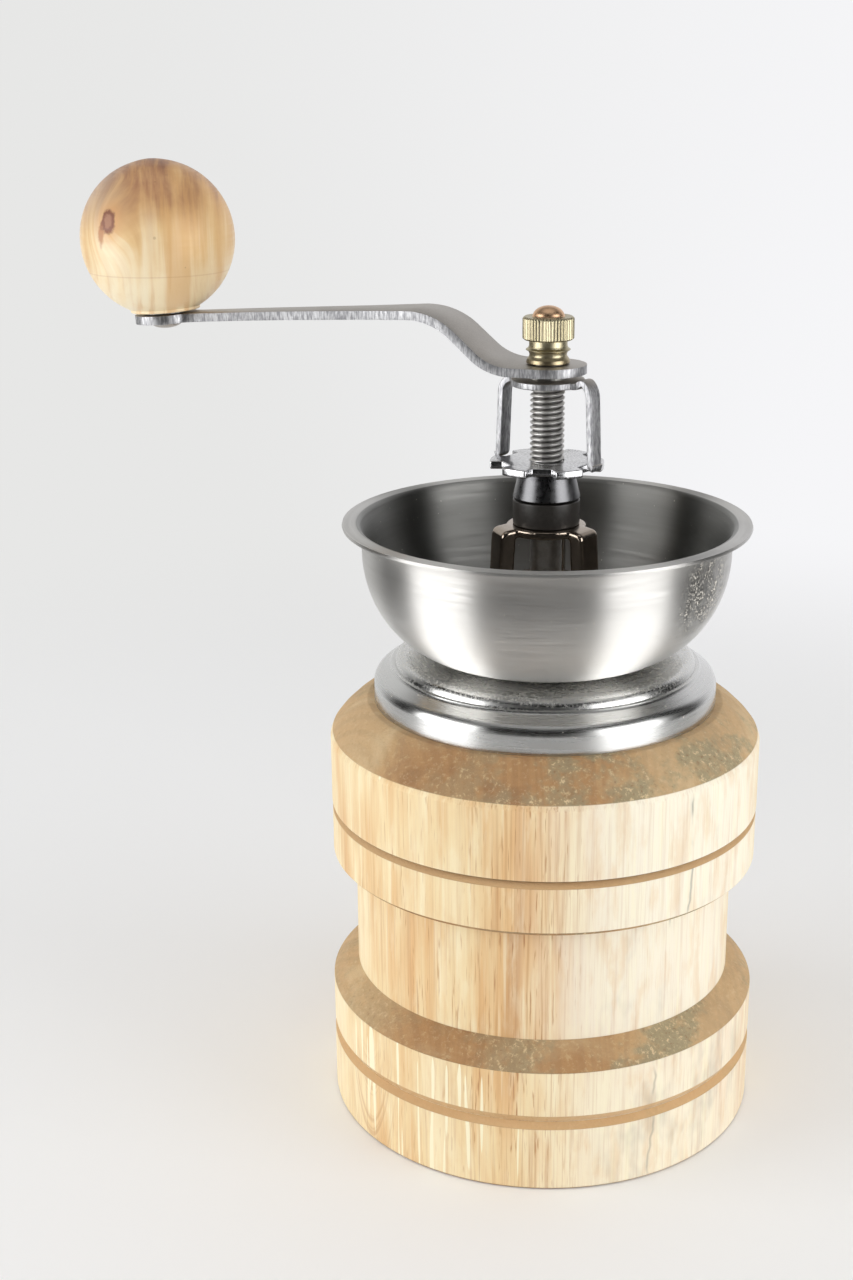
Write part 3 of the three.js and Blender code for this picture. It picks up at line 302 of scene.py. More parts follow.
def placed(piece, matrix):
    """Moves a piece's mesh by a matrix in millimetres and leaves its object at the origin."""
    shift = matrix.copy()
    shift.translation = matrix.translation * MM
    piece.data.transform(shift)
    return piece


def turned_by(theta):
    return Matrix.Rotation(math.radians(theta), 4, "Z")


def walk(start, moves, step):
    """Walks along a bent strip. A move is (degrees, radius) for a bend or (0, length) for a straight run.

    Returns (distance, height, heading in degrees) places, close together."""
    places = [start]
    for degrees, size in moves:
        length = size * math.radians(abs(degrees)) if degrees else size
        count = max(2, math.ceil(max(length / step, abs(degrees) / 3)))
        turn = math.radians(degrees / count / 2)
        chord = length / count * (math.sin(turn) / turn if degrees else 1)
        for _ in range(count):
            x, z, heading = places[-1]
            middle = math.radians(heading) + turn
            places.append((x + chord * math.cos(middle), z + chord * math.sin(middle),
                           heading + degrees / count))
    return places


def distances_along(places):
    """How far along a walked strip each of its places lies."""
    table = np.array(places)
    steps = np.hypot(np.diff(table[:, 0]), np.diff(table[:, 1]))
    return np.concatenate([[0], np.cumsum(steps)])


def resample(places, distances):
    """Places at given distances along a walked strip."""
    table = np.array(places)
    along = distances_along(places)
    return [tuple(np.interp(d, along, table[:, k]) for k in range(3)) for d in distances]


def strip(name, places, half_widths, thickness):
    """A flat strip bent along its places, with its own half width at each of them."""
    vertices = []
    half = thickness / 2
    for (x, z, heading), width in zip(places, half_widths):
        angle = math.radians(heading)
        across = (-math.sin(angle) * half, math.cos(angle) * half)
        for side, face in ((-1, -1), (1, -1), (1, 1), (-1, 1)):
            vertices.append((x + face * across[0], side * width, z + face * across[1]))
    faces = []
    last = 4 * (len(places) - 1)
    for a in range(0, last, 4):
        faces += [(a + k, a + (k + 1) % 4, a + 4 + (k + 1) % 4, a + 4 + k) for k in range(4)]
    faces += [(0, 3, 2, 1), (last, last + 1, last + 2, last + 3)]
    return closed(new_object(name, vertices, faces))


def tube(name, points, radius):
    """A round wire along points."""
    curve = bpy.data.curves.new(name, "CURVE")
    curve.dimensions = "3D"
    curve.bevel_depth = radius * MM
    curve.bevel_resolution = 4
    curve.use_fill_caps = True
    spline = curve.splines.new("POLY")
    spline.points.add(len(points) - 1)
    for point, place in zip(spline.points, points):
        point.co = (*(c * MM for c in place), 1)
    wire = linked(name, curve)
    mesh = evaluated_mesh(wire)
    bpy.data.objects.remove(wire)
    bpy.data.curves.remove(curve)
    return closed(linked(name, mesh), 50)


def rides(piece, body, slot, finish, *nodes):
    """Gives a finished piece its material and its body, and hides the CAD nodes it stands for."""
    piece.data.materials.clear()
    piece.data.materials.append(finish)
    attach(piece, body)
    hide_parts(*nodes)


def turned(name, outline, steps, body, slot, finish, node, loop=True, rounding=5, stand=None):
    """A finished piece, turned on a lathe. loop closes its outline, and stand is a matrix that places it."""
    piece = lathe(name, rounded(outline, rounding, loop), steps, loop)
    if stand:
        placed(piece, stand)
    rides(piece, body, slot, finish, node)


# Finishes

def srgb(red, green, blue):
    """A display colour of 0..255 values, as the linear colour that Blender's sockets hold."""
    def linear(value):
        share = value / 255
        return share / 12.92 if share <= 0.04045 else ((share + 0.055) / 1.055) ** 2.4
    return linear(red), linear(green), linear(blue)


def scaled(color, factor):
    return tuple(min(1, c * factor) for c in color)


def facing(theta):
    """The level direction at an angle theta."""
    return (*polar(1, theta), 0)


def plug(tree, socket, value):
    """Links a value to a node's socket, or sets the socket to a number or a colour."""
    if isinstance(value, Value):
        tree.links.new(value.socket, socket)
    elif socket.type == "RGBA" and len(value) == 3:
        socket.default_value = (*value, 1)
    else:
        socket.default_value = value


def add_node(tree, kind, inputs, **settings):
    node = tree.nodes.new("ShaderNode" + kind)
    for key, value in settings.items():
        setattr(node, key, value)
    for key, value in inputs.items():
        plug(tree, node.inputs[key], value)
    return node


def source(tree, kind, output, **settings):
    """A value that needs no other one, such as a texture coordinate."""
    return Value(tree, add_node(tree, kind, {}, **settings).outputs[output])


class Value:
    """A number, place, direction or colour in a node tree. Sums with it add the nodes that do them."""

    def __init__(self, tree, socket):
        self.tree = tree
        self.socket = socket

    def new(self, kind, inputs, output=0, **settings):
        """What a new node in the same tree gives out."""
        return Value(self.tree, add_node(self.tree, kind, inputs, **settings).outputs[output])

    def math(self, operation, a, b=0.0):
        return self.new("Math", {0: a, 1: b}, operation=operation)

    def __add__(self, other):
        return self.math("ADD", self, other)

    def __sub__(self, other):
        return self.math("SUBTRACT", self, other)

    def __rsub__(self, other):
        return self.math("SUBTRACT", other, self)

    def __mul__(self, other):
        return self.math("MULTIPLY", self, other)

    def __abs__(self):
        return self.math("ABSOLUTE", self)

    def larger(self, other):
        """The larger of this and another number."""
        return self.math("MAXIMUM", self, other)

    def vector(self, operation, other=(0, 0, 0), output="Vector"):
        return self.new("VectorMath", {0: self, 1: other}, output, operation=operation)

    def times(self, *factors):
        """This with its three parts multiplied."""
        return self.vector("MULTIPLY", factors)

    def length(self):
        return self.vector("LENGTH", output="Value")

    def along(self, direction):
        return self.vector("DOT_PRODUCT", direction, "Value")

    def toward(self, theta):
        """How far this goes in the level direction at an angle theta."""
        return self.along(facing(theta))

    def around(self):
        """The level direction from the shaft's axis to this place."""
        return self.times(1, 1, 0).vector("NORMALIZE")

    def reach_out(self):
        """The distance from the shaft's axis, in millimetres."""
        return self.times(1 / MM, 1 / MM, 0).length()

    def away_from(self, point):
        """The way to this place from a point, in millimetres."""
        return self.times(1 / MM, 1 / MM, 1 / MM).vector("SUBTRACT", point)

    def z(self):
        return self.new("SeparateXYZ", {0: self}, 2)

    def height(self):
        """The height of this place, in millimetres."""
        return self.z() * (1 / MM)

    def noise(self, scale, detail=3.0, roughness=0.55, distortion=0.0):
        """Noise at this place. It is stretched where the scale has a number for each axis."""
        if isinstance(scale, tuple):
            stretched = self.new("Mapping", {"Vector": self, "Scale": scale})
            return stretched.noise(1.0, detail, roughness, distortion)
        inputs = {"Vector": self, "Scale": scale, "Detail": detail, "Roughness": roughness,
                  "Distortion": distortion}
        return self.new("TexNoise", inputs)

    def noise_line(self):
        """Noise along this number."""
        return self.new("TexNoise", {"W": self, "Scale": 1.0, "Detail": 2.0}, noise_dimensions="1D")

    def spots(self, scale):
        """How far this place is from the nearest of many scattered spots."""
        return self.new("TexVoronoi", {"Vector": self, "Scale": scale}, "Distance")

    def band(self, start, end, low=0.0, high=1.0):
        """Maps this from start..end to low..high, smoothly and clamped."""
        inputs = {0: self, 1: start, 2: end, 3: low, 4: high}
        return self.new("MapRange", inputs, interpolation_type="SMOOTHSTEP")

    def mix(self, a, b):
        """Two colours, mixed by this share. The Mix node's colours are its sockets 6 and 7 and output 2."""
        return self.new("Mix", {0: self, 6: a, 7: b}, 2, data_type="RGBA")

    def ramp(self, *stops):
        """The colour at this place among (place, colour) stops."""
        node = add_node(self.tree, "ValToRGB", {0: self})
        elements = node.color_ramp.elements
        while len(elements) < len(stops):
            elements.new(0.5)
        for element, (position, color) in zip(elements, stops):
            element.position = position
            element.color = (*color, 1)
        return Value(self.tree, node.outputs["Color"])

    def bump(self, distance, normal=None):
        """A normal, bent as if this height of 0..1 stood for a distance in millimetres."""
        inputs = {"Height": self, "Distance": distance * MM}
        if normal:
            inputs["Normal"] = normal
        return self.new("Bump", inputs)


class Paint:
    """A new material, the place and the normal that it is worked out for, and its shader.

    The place is in the part's frame, in metres, because the objects stand at the origin."""

    def __init__(self, name):
        self.material = bpy.data.materials.new(name)
        self.material.use_nodes = True
        self.tree = self.material.node_tree
        self.shader = self.tree.nodes["Principled BSDF"]
        self.place = source(self.tree, "TexCoord", "Object")
        self.normal = source(self.tree, "TexCoord", "Normal")

    def finish(self, color, roughness, normal=None, **others):
        """Fills the shader's sockets. A name in others stands for a socket with a space for each _."""
        sockets = {"Base Color": color, "Roughness": roughness, **others}
        if normal:
            sockets["Normal"] = normal
        for key, value in sockets.items():
            plug(self.tree, self.shader.inputs[key.replace("_", " ")], value)
        return self.material


def layered(color, *layers):
    """Lays colours over a colour, each as strongly as the mask in front of it says."""
    for mask, tone in layers:
        color = mask.mix(color, tone)
    return color


# Wood tones, as they show in the light
CREAM = srgb(248, 230, 190)
STRAW = srgb(243, 219, 172)
TAN = srgb(229, 188, 134)
BROWN = srgb(186, 132, 86)
BLEACHED = srgb(254, 249, 232)
FLECK = srgb(255, 247, 214)
SPALT = srgb(120, 116, 114)
SLOPE_BROWN = srgb(196, 153, 104)
SLOPE_DARK = srgb(150, 110, 74)
SLOPE_GREEN = srgb(158, 150, 120)
SLOPE_PALE = srgb(222, 198, 156)
GROOVE_TAN = srgb(224, 184, 134)
# Painted shade in the slit between the collar and the top ring
SLIT_PAINTED_SHADE = srgb(96, 62, 36)

# Angles theta of what the sides of the wood show
BLEACH_THETA = 58
ARCH_THETA = -36
FLECK_THETA = -27
LOW_LINE_THETA = 45
HIGH_LINE_THETA = 55
HAZE_THETA = 56

# Angles theta of what the slopes of the wood show: torn grain, painted shade and painted light
TORN_THETA = 75
SLOPE_PAINTED_SHADE_THETA = 2
SLOPE_PAINTED_LIGHT_THETA = 5

# Heights and half widths of the grooves in the foot and under the top ring, and of the slit there, which
# gets painted shade
FOOT_GROOVE = (17.4, 2.2)
RING_GROOVE = (76.2, 1.2)
RING_SLIT = (77.05, 0.38)
ARCH_FOOT = 4


def grain(place, pith):
    """The wood's grain: growth rings round a pith, and streaks, fibres and dashes that run upright."""
    wander = place.noise((16, 16, 6), detail=2)
    distance = place.away_from(pith).times(1, 1, 0.05).length()
    return SimpleNamespace(
        wander=wander,
        rings=(distance * 0.42 + wander * 9).noise_line(),
        streaks=place.noise((150, 150, 9), detail=4, roughness=0.6),
        fibres=place.noise((700, 700, 22)),
        dashes=place.noise((1900, 1900, 110), detail=2),
        mottle=place.noise((260, 260, 70), detail=4, distortion=0.25),
        patches=place.noise((30, 30, 12), distortion=0.4),
    )


def spalt_line(place, around, theta):
    """How strongly a thin, wavering grey line shows that runs upright at an angle theta."""
    sway = place.noise((10, 10, 55))
    off_line = abs(around.toward(theta + 90) + (sway - 0.5) * 0.16)
    front = around.toward(theta).band(0.5, 0.7)
    breaks = place.noise((40, 40, 90), detail=2).band(0.42, 0.58)
    return off_line.band(0.011, 0.0) * front * breaks


def arches(place, theta, foot):
    """Nested arches of grain above a height, where a growth ring is cut lengthwise."""
    way = place.away_from((0, 0, foot))
    beside = way.toward(theta + 90)
    height = way.z()
    bends = place.noise((60, 60, 30), detail=2)
    line = ((height + beside * beside * -0.28 + bends * 8) * 0.33).noise_line()
    near = abs(beside).band(13, 3) * way.toward(theta).band(20, 30)
    return line.band(0.48, 0.66) * near * height.band(24, 12)


def side_wood(place, figure, warm_theta):
    """The colour of the turned sides: cream, an orange-brown patch in front, bleached on the right."""
    around = place.around()
    height = place.height()
    ragged = (figure.streaks - 0.5) * 0.30
    warm = (around.toward(warm_theta) + ragged).band(0.78, 0.98)
    tone = figure.patches * 0.58 + figure.streaks * 0.42 + warm * 0.045 + (figure.rings - 0.5) * 0.12
    bleach = (around.toward(BLEACH_THETA) + ragged * 0.8).band(0.62, 0.98, 0, 0.84)
    bleach = bleach * height.band(30, 36, 0.82, 1.0)
    thin = bleach.band(0.2, 0.7, 1.0, 0.42) * figure.wander.band(0.44, 0.58, 0.45, 1.15)
    hairs = place.noise((2600, 2600, 40), detail=2)
    flecks = place.noise((520, 520, 20), detail=1)
    fleck_area = around.toward(FLECK_THETA).band(0.86, 0.93) * height.band(34, 26)
    low_line = spalt_line(place, around, LOW_LINE_THETA) * height.band(36, 32) * 0.40
    high_line = spalt_line(place, around, HIGH_LINE_THETA) * height.band(58, 63) * 0.55
    haze = place.noise((60, 60, 26), detail=4, roughness=0.65).band(0.52, 0.70)
    return layered(
        tone.ramp((0.38, CREAM), (0.50, STRAW), (0.62, TAN), (0.80, BROWN)),
        (bleach, BLEACHED),
        (figure.mottle.band(0.48, 0.68, 0, 0.32), TAN),
        (figure.mottle.band(0.48, 0.32, 0, 0.26), FLECK),
        (figure.fibres.band(0.52, 0.72, 0, 0.36) * thin, BROWN),
        (figure.fibres.band(0.46, 0.30, 0, 0.42), FLECK),
        (hairs.band(0.50, 0.72, 0, 0.34) * thin, BROWN),
        (figure.dashes.band(0.60, 0.72) * (warm * 0.55 + 0.22) * thin, BROWN),
        (arches(place, ARCH_THETA, ARCH_FOOT) * 0.38, BROWN),
        ((flecks + fleck_area * 0.13).band(0.755, 0.775, 0, 0.9), FLECK),
        (low_line.larger(high_line), SPALT),
        (haze * around.toward(HAZE_THETA).band(0.86, 0.96) * 0.30, SPALT),
    )


def end_wood(place, figure, pores):
    """The colour of the slopes, which cut across the grain: brown, with torn grey-green patches. Painted
    shade darkens their front, and painted light brightens their sides and back.
    """
    around = place.around()
    soft = place.noise(55, detail=4, roughness=0.6, distortion=0.8)
    greying = place.noise(45, detail=5, roughness=0.7)
    torn = greying.band(0.48, 0.60) * around.toward(TORN_THETA).band(-0.1, 0.8, 0.3, 1)
    return layered(
        figure.rings.band(0.40, 0.62, 0, 0.28).mix(SLOPE_BROWN, SLOPE_DARK),
        (soft.band(0.50, 0.68, 0, 0.55), SLOPE_PALE),
        (soft.band(0.46, 0.34, 0, 0.60), SLOPE_DARK),
        # Painted shade on the slopes' front, and painted light on their sides and back
        (around.toward(SLOPE_PAINTED_SHADE_THETA).band(0.75, 0.95) * 0.30, SLOPE_DARK),
        (around.toward(SLOPE_PAINTED_LIGHT_THETA).band(0.92, 0.70, 0, 0.42), SLOPE_PALE),
        (torn * 0.75, SLOPE_GREEN),
        (pores.band(0.53, 0.64) * (torn + 0.42) * 0.85, SLOPE_PALE),
        (pores.band(0.44, 0.32) * (torn + 0.3) * 0.75, SLOPE_DARK),
    )


def near_height(height, middle, half):
    """1 within half a width of a height, falling to 0 within another quarter."""
    return abs(height - middle).band(half * 1.25, half)


def body_wood(name, pith, warm_theta):
    paint = Paint(name)
    place = paint.place
    height = place.height()
    figure = grain(place, pith)
    pores = place.noise(800, detail=5, roughness=0.8)
    upright = abs(paint.normal.z())
    ends = upright.band(0.30, 0.62)
    grooves = near_height(height, *FOOT_GROOVE).larger(near_height(height, *RING_GROOVE))
    # Painted shade: a dark brown line in the slit between the collar and the top ring
    slit = near_height(height, *RING_SLIT) * upright.band(0.2, 0.5)
    color = layered(
        side_wood(place, figure, warm_theta),
        (ends, layered(end_wood(place, figure, pores), (grooves * 0.8, GROOVE_TAN))),
        (slit * 0.8, SLIT_PAINTED_SHADE),
    )
    roughness = ends * 0.2 + figure.dashes.band(0.3, 0.7, 0.44, 0.58)
    fuzz = pores * ends.band(0, 1, 0.10, 1.0)
    normal = figure.dashes.bump(0.03, figure.fibres.bump(0.05, fuzz.bump(0.40)))
    return paint.finish(color, roughness, normal)


# The knob's tones and marks, and its painted shade and painted sheen
KNOB_TONES = (
    (0.25, srgb(249, 229, 190)), (0.50, srgb(232, 197, 144)), (0.70, srgb(208, 164, 114)),
    (0.86, srgb(172, 124, 88)), (1.0, srgb(146, 102, 76)),
)
FINE_BAR_TAN = srgb(214, 166, 108)
FINE_BAR_CREAM = srgb(250, 234, 200)
BROAD_BAR_TAN = srgb(222, 176, 118)
BROAD_BAR_CREAM = srgb(252, 241, 212)
RIGHT_PAINTED_SHADE = srgb(206, 166, 112)
PAINTED_SHEEN_GREY = srgb(206, 188, 164)
KNOT_HALO = srgb(206, 150, 92)
KNOT_TAIL = srgb(166, 104, 62)
KNOT_RIM = srgb(124, 72, 46)
KNOT_HEART = srgb(176, 128, 98)
PIN_BROWN = srgb(120, 78, 52)
KNOT_PLACE = (-100.3, -17.3, 213.0)
KNOT_TAIL_PLACE = (-102.0, -16.9, 209.8)
KNOB_MIDDLE = (-96.5, 0, 208.0)
KNOB_PITH = (-150, 30, 0)
KNOB_LAYER_THETA = 117
KNOB_PAINTED_SHADE_THETA = 95
KNOB_SHEEN_THETA = -60
KNOB_GROOVE_HEIGHT = 10.2
KNOT_SWIRL = 6


def knob_wood():
    """The knob: pale below, red-brown on top, with a small knot and a fine lathe line. Painted shade darkens
    its right side, and a painted grey sheen lightens its upper left.
    """
    paint = Paint("knob_wood")
    place = paint.place
    knot_far = place.away_from(KNOT_PLACE).times(1, 1, 0.7).length()
    swirl = knot_far.band(10, 0, 0, KNOT_SWIRL * MM)
    bent = place.vector("ADD", place.new("CombineXYZ", {0: swirl, 1: 0.0, 2: swirl}))
    figure = grain(bent, KNOB_PITH)
    height = place.height() - KNOB_FRAME.translation.z
    share = height * (1 / (2 * KNOB_RADIUS))
    across = bent.toward(KNOB_LAYER_THETA)
    lengthwise = bent.toward(KNOB_LAYER_THETA - 90)
    layers = place.new("CombineXYZ", {0: across, 1: lengthwise, 2: bent.z()})
    bars = layers.noise((260, 40, 14), detail=4, roughness=0.6)
    fine_bars = layers.noise((620, 60, 20))
    broad_bars = layers.noise((210, 25, 6), detail=2)
    tone = share + (bars - 0.5) * 0.85 + (bent.noise(75, detail=4) - 0.5) * 0.55
    low_half = share.band(0.80, 0.45)
    way = place.away_from(KNOB_MIDDLE)
    # Painted sheen: a grey highlight on the knob's upper left
    painted_sheen = way.toward(KNOB_SHEEN_THETA).band(4, 16) * height.band(17, 28)
    knot_edge = knot_far + place.noise(600) * 2.2
    tail_far = place.away_from(KNOT_TAIL_PLACE).times(1, 1, 0.34).length()
    tail_edge = tail_far + place.noise(500) * 1.2
    color = layered(
        tone.ramp(*KNOB_TONES),
        (fine_bars.band(0.50, 0.66, 0, 0.42), FINE_BAR_TAN),
        (fine_bars.band(0.48, 0.36, 0, 0.40) * low_half, FINE_BAR_CREAM),
        (broad_bars.band(0.50, 0.62, 0, 0.62) * low_half, BROAD_BAR_TAN),
        (broad_bars.band(0.46, 0.38, 0, 0.50) * low_half, BROAD_BAR_CREAM),
        (figure.mottle.band(0.52, 0.72, 0, 0.20), TAN),
        # Painted shade on the knob's right side
        (way.toward(KNOB_PAINTED_SHADE_THETA).band(4, 17, 0, 0.35), RIGHT_PAINTED_SHADE),
        (painted_sheen * figure.wander.band(0.35, 0.6, 0.2, 0.5), PAINTED_SHEEN_GREY),
        (knot_far.band(5.5, 1.5, 0, 0.6), KNOT_HALO),
        (tail_edge.band(1.9, 1.2, 0, 0.75), KNOT_TAIL),
        (knot_edge.band(3.6, 2.7), KNOT_RIM),
        (knot_edge.band(2.5, 1.8, 0, 0.6), KNOT_HEART),
        (place.spots(190).band(0.085, 0.055) * figure.wander.band(0.5, 0.6, 0, 0.7), PIN_BROWN),
        (abs(height - KNOB_GROOVE_HEIGHT).band(0.24, 0.05, 0, 0.22), BROWN),
    )
    rows = (place.z() * 1400).noise_line()
    normal = figure.fibres.bump(0.04, rows.bump(0.02))
    return paint.finish(color, rows.band(0.3, 0.7, 0.34, 0.44), normal)


# Tones of steel, the painted shade and painted light on it, and the places of what lies on the bowl
INSIDE_PAINTED_SHADE = (0.20, 0.20, 0.19)
LOW_PAINTED_LIGHT_COLOR = (0.90, 0.89, 0.86)
LOW_PAINTED_LIGHT_HEIGHTS = (138, 123)
DUST = srgb(225, 220, 208)
SMUDGE_GREY = (0.13, 0.125, 0.12)
SMUDGE_PLACE = (41.0, -13.0, 134.5)
SMUDGE_FADE = (13.5, 6)
CREASE_HEIGHTS = (118.5, 115.0)
CREASE_RADII = (37.5, 33.0)


def round_steel(name, color, roughness, anisotropy, depth, lines, low_painted_light=0.0):
    """Steel turned on a lathe: fine lines run round the axis, and the sheen spreads across them.

    depth is the lines' depth in millimetres, and lines their number in a metre. The last argument sets how
    strongly painted light brightens the outside of the bowl's lower half."""
    paint = Paint(name)
    place = paint.place
    around = place.around()
    rows = around.times(2.2, 2.2, 0).vector("ADD", place.times(0, 0, lines))
    inputs = {"Vector": rows, "W": place.reach_out() * (lines * MM), "Scale": 1.0, "Detail": 3.0,
              "Roughness": 0.65}
    brushed = place.new("TexNoise", inputs, noise_dimensions="4D")
    cloud = place.noise(30)
    tone = brushed.band(0.3, 0.7, -0.04, 0.04) + cloud.band(0.3, 0.7, -0.03, 0.03) + 0.5
    rough = brushed.band(0.3, 0.7, roughness - 0.05, roughness + 0.06) + cloud.band(0.35, 0.7, 0, 0.05)
    # Painted shade: faces that look in towards the axis, such as the bowl's inside, are darkened
    inside = paint.normal.along(around).band(0.0, -0.25)
    # Painted light: the outside of the bowl's lower half is made brighter
    low = place.height().band(*LOW_PAINTED_LIGHT_HEIGHTS) * (1 - inside) * low_painted_light
    dust, smudge = dust_masks(place)
    shade = layered(
        tone.mix(scaled(color, 0.86), scaled(color, 1.12)),
        (inside * 0.82, INSIDE_PAINTED_SHADE),
        (low, LOW_PAINTED_LIGHT_COLOR),
        (smudge * 0.5, SMUDGE_GREY),
        (dust, DUST),
    )
    return paint.finish(
        shade, rough + dust * 0.4, brushed.bump(depth), Metallic=1 - dust,
        Tangent=source(paint.tree, "Tangent", 0, direction_type="RADIAL", axis="Z"),
        Anisotropic=anisotropy, Anisotropic_Rotation=0.25,
    )


def dust_masks(place):
    """Masks of the dust, in the crease under the bowl and in a smudge on its right, and of the smudge."""
    crease = place.height().band(*CREASE_HEIGHTS) * place.reach_out().band(*CREASE_RADII) * 0.5
    smudge = place.away_from(SMUDGE_PLACE).length().band(*SMUDGE_FADE)
    smudge = smudge * place.noise(330).band(0.40, 0.56, 0.3, 1.0)
    specks = place.noise(1500, roughness=0.8).band(0.53, 0.58)
    stray = place.noise(1100, detail=1).band(0.76, 0.79) * 0.7
    return (specks * crease.larger(smudge)).larger(stray), smudge


def grainy_metal(name, color, roughness, grain_size, bump, contrast):
    """Cast or plated metal with a fine, even grain. grain_size is in millimetres."""
    paint = Paint(name)
    speckle = paint.place.noise(1000 / grain_size, detail=2, roughness=0.6)
    cloud = paint.place.noise(60)
    shade = speckle.band(0.3, 0.7).mix(scaled(color, 1 - contrast), scaled(color, 1 + contrast))
    rough = speckle.band(0.3, 0.7, roughness - 0.04, roughness + 0.05) + cloud.band(0.4, 0.7, 0, 0.07)
    return paint.finish(shade, rough, speckle.bump(bump), Metallic=1)


VALLEY_RADII = (3.66, 3.36)
CREST_DARK = (0.62, 0.61, 0.59)
CREST_BRIGHT = (0.78, 0.77, 0.75)
# Painted shade for the thread's valleys
VALLEY_PAINTED_SHADE = (0.09, 0.085, 0.08)


def thread_steel():
    """Worn bright steel. Painted shade darkens the thread's valleys below the clip."""
    paint = Paint("shaft_steel")
    place = paint.place
    _, clip_top = heights("lock_clip")
    valley = place.reach_out().band(*VALLEY_RADII, 0, 0.85)
    below_clip = place.height().band(clip_top, clip_top - 1)
    cloud = place.noise(420)
    crest = cloud.band(0.35, 0.65).mix(CREST_DARK, CREST_BRIGHT)
    # Painted shade in the thread's valleys below the clip
    color = layered(crest, (valley * below_clip, VALLEY_PAINTED_SHADE))
    return paint.finish(color, cloud.band(0.3, 0.7, 0.46, 0.56), Metallic=1)


FACE_DARK = (0.43, 0.40, 0.365)
FACE_BRIGHT = (0.53, 0.50, 0.465)
SHEARED_DARK = (0.24, 0.24, 0.25)
SHEARED_BRIGHT = (0.52, 0.52, 0.53)


def plated_strip():
    """Zinc-plated strip: satin grey-beige faces, and sheared edges with upright marks and bright specks."""
    paint = Paint("zinc_steel")
    place = paint.place
    face = abs(paint.normal.z()).band(0.35, 0.75)
    speckle = place.noise(2200, detail=2, roughness=0.6)
    cloud = place.noise(70)
    sheared = place.noise((2300, 2300, 480))
    face_tone = speckle.band(0.3, 0.7).mix(FACE_DARK, FACE_BRIGHT)
    edge_tone = sheared.band(0.35, 0.68).mix(SHEARED_DARK, SHEARED_BRIGHT)
    rough = speckle.band(0.3, 0.7, 0.26, 0.36) + cloud.band(0.35, 0.7, 0, 0.08)
    rough = rough + face.band(0, 1, 0.14, 0.12)
    normal = (sheared * (1 - face)).bump(0.03, speckle.bump(0.014))
    return paint.finish(face.mix(edge_tone, face_tone), rough, normal, Metallic=1)


BRASS_DARK = (0.46, 0.41, 0.27)
BRASS_BRIGHT = (0.52, 0.46, 0.31)
TARNISH = (0.36, 0.27, 0.15)
DOME_COPPER = (0.80, 0.52, 0.32)


def brass():
    """Yellow brass, with a coppery rubbed dome and a tarnished foot."""
    paint = Paint("brass")
    low, high = heights("thumb_nut")
    height = paint.place.height()
    speckle = paint.place.noise(2200, detail=2)
    dome = height.band(high - 2.45, high - 2.3) * paint.place.reach_out().band(3.85, 3.7)
    color = layered(
        speckle.band(0.3, 0.7).mix(BRASS_DARK, BRASS_BRIGHT),
        (height.band(low + 2.2, low + 0.6, 0, 0.5), TARNISH),
        (dome, DOME_COPPER),
    )
    return paint.finish(color, speckle.band(0.3, 0.7, 0.34, 0.40), Metallic=1)


def black_plastic():
    paint = Paint("black_plastic")
    speckle = paint.place.noise(1500, detail=2)
    color = speckle.mix((0.018, 0.016, 0.014), (0.040, 0.036, 0.032))
    return paint.finish(color, speckle.band(0.3, 0.7, 0.28, 0.40), speckle.bump(0.01))


CONTAINER_WOOD = body_wood("container_wood", pith=(-70, -62, 0), warm_theta=-6)
TOP_WOOD = body_wood("top_wood", pith=(-66, -74, 40), warm_theta=-4)
STEEL = round_steel("brushed_steel", (0.61, 0.60, 0.58), roughness=0.44, anisotropy=0.97, depth=0.008,
                    lines=1500, low_painted_light=0.85)
FLANGE_STEEL = round_steel("flange_steel", (0.62, 0.62, 0.61), roughness=0.23, anisotropy=0.5,
                           depth=0.0015, lines=1200)
CAST = grainy_metal("cast_metal", (0.36, 0.30, 0.245), 0.15, grain_size=1.6, bump=0.004, contrast=0.06)
BURR = grainy_metal("burr_steel", (0.30, 0.29, 0.28), 0.45, grain_size=0.5, bump=0.03, contrast=0.15)
PLASTIC = black_plastic()
ZINC = plated_strip()
CHROME = grainy_metal("chrome", (0.57, 0.57, 0.58), 0.19, grain_size=0.6, bump=0.008, contrast=0.22)
CONE = grainy_metal("cone_chrome", (0.15, 0.15, 0.155), 0.29, grain_size=0.8, bump=0.002, contrast=0.08)
SHAFT = thread_steel()
BRASS = brass()


# Wooden container and top ring

WAIST_RADIUS = 45.7
WAIST_BOTTOM = 35.3
FOOT_EDGE = 30.2
COLLAR_BOTTOM = 63.9
COLLAR_RADIUS = 51.2
CONTAINER_BORE = 38.0
CONTAINER_FLOOR = 10.0
GROOVE_BOTTOM = 15.7
GROOVE_MIDDLE = 17.1
GROOVE_TOP = 19.2
GROOVE_DEPTH = 1.45


def make_container():
    _, rim = heights("container")
    foot = reach("container")
    outline = [
        (0, 0), (foot, 0, 0.8),
        (foot, GROOVE_BOTTOM, 0.2), (foot - GROOVE_DEPTH, GROOVE_MIDDLE, 0.15), (foot, GROOVE_TOP, 0.2),
        (foot, FOOT_EDGE, 0.5), (foot - 0.9, FOOT_EDGE + 1.0, 0.8),
        (foot - 3.4, FOOT_EDGE + 3.3, 3), (WAIST_RADIUS, WAIST_BOTTOM, 0.25),
        (WAIST_RADIUS, COLLAR_BOTTOM + 1.3, 0.3), (COLLAR_RADIUS - 1.0, COLLAR_BOTTOM, 0.3),
        (COLLAR_RADIUS, COLLAR_BOTTOM + 1.0, 0.3),
        (COLLAR_RADIUS, rim - 1.5, 0.3), (COLLAR_RADIUS - 1.5, rim, 0.3),
        (CONTAINER_BORE, rim, 0.7), (CONTAINER_BORE, CONTAINER_FLOOR, 4), (0, CONTAINER_FLOOR),
    ]
    turned("container_wood", outline, 256, "container", "container_wood", CONTAINER_WOOD, "container",
           loop=False)


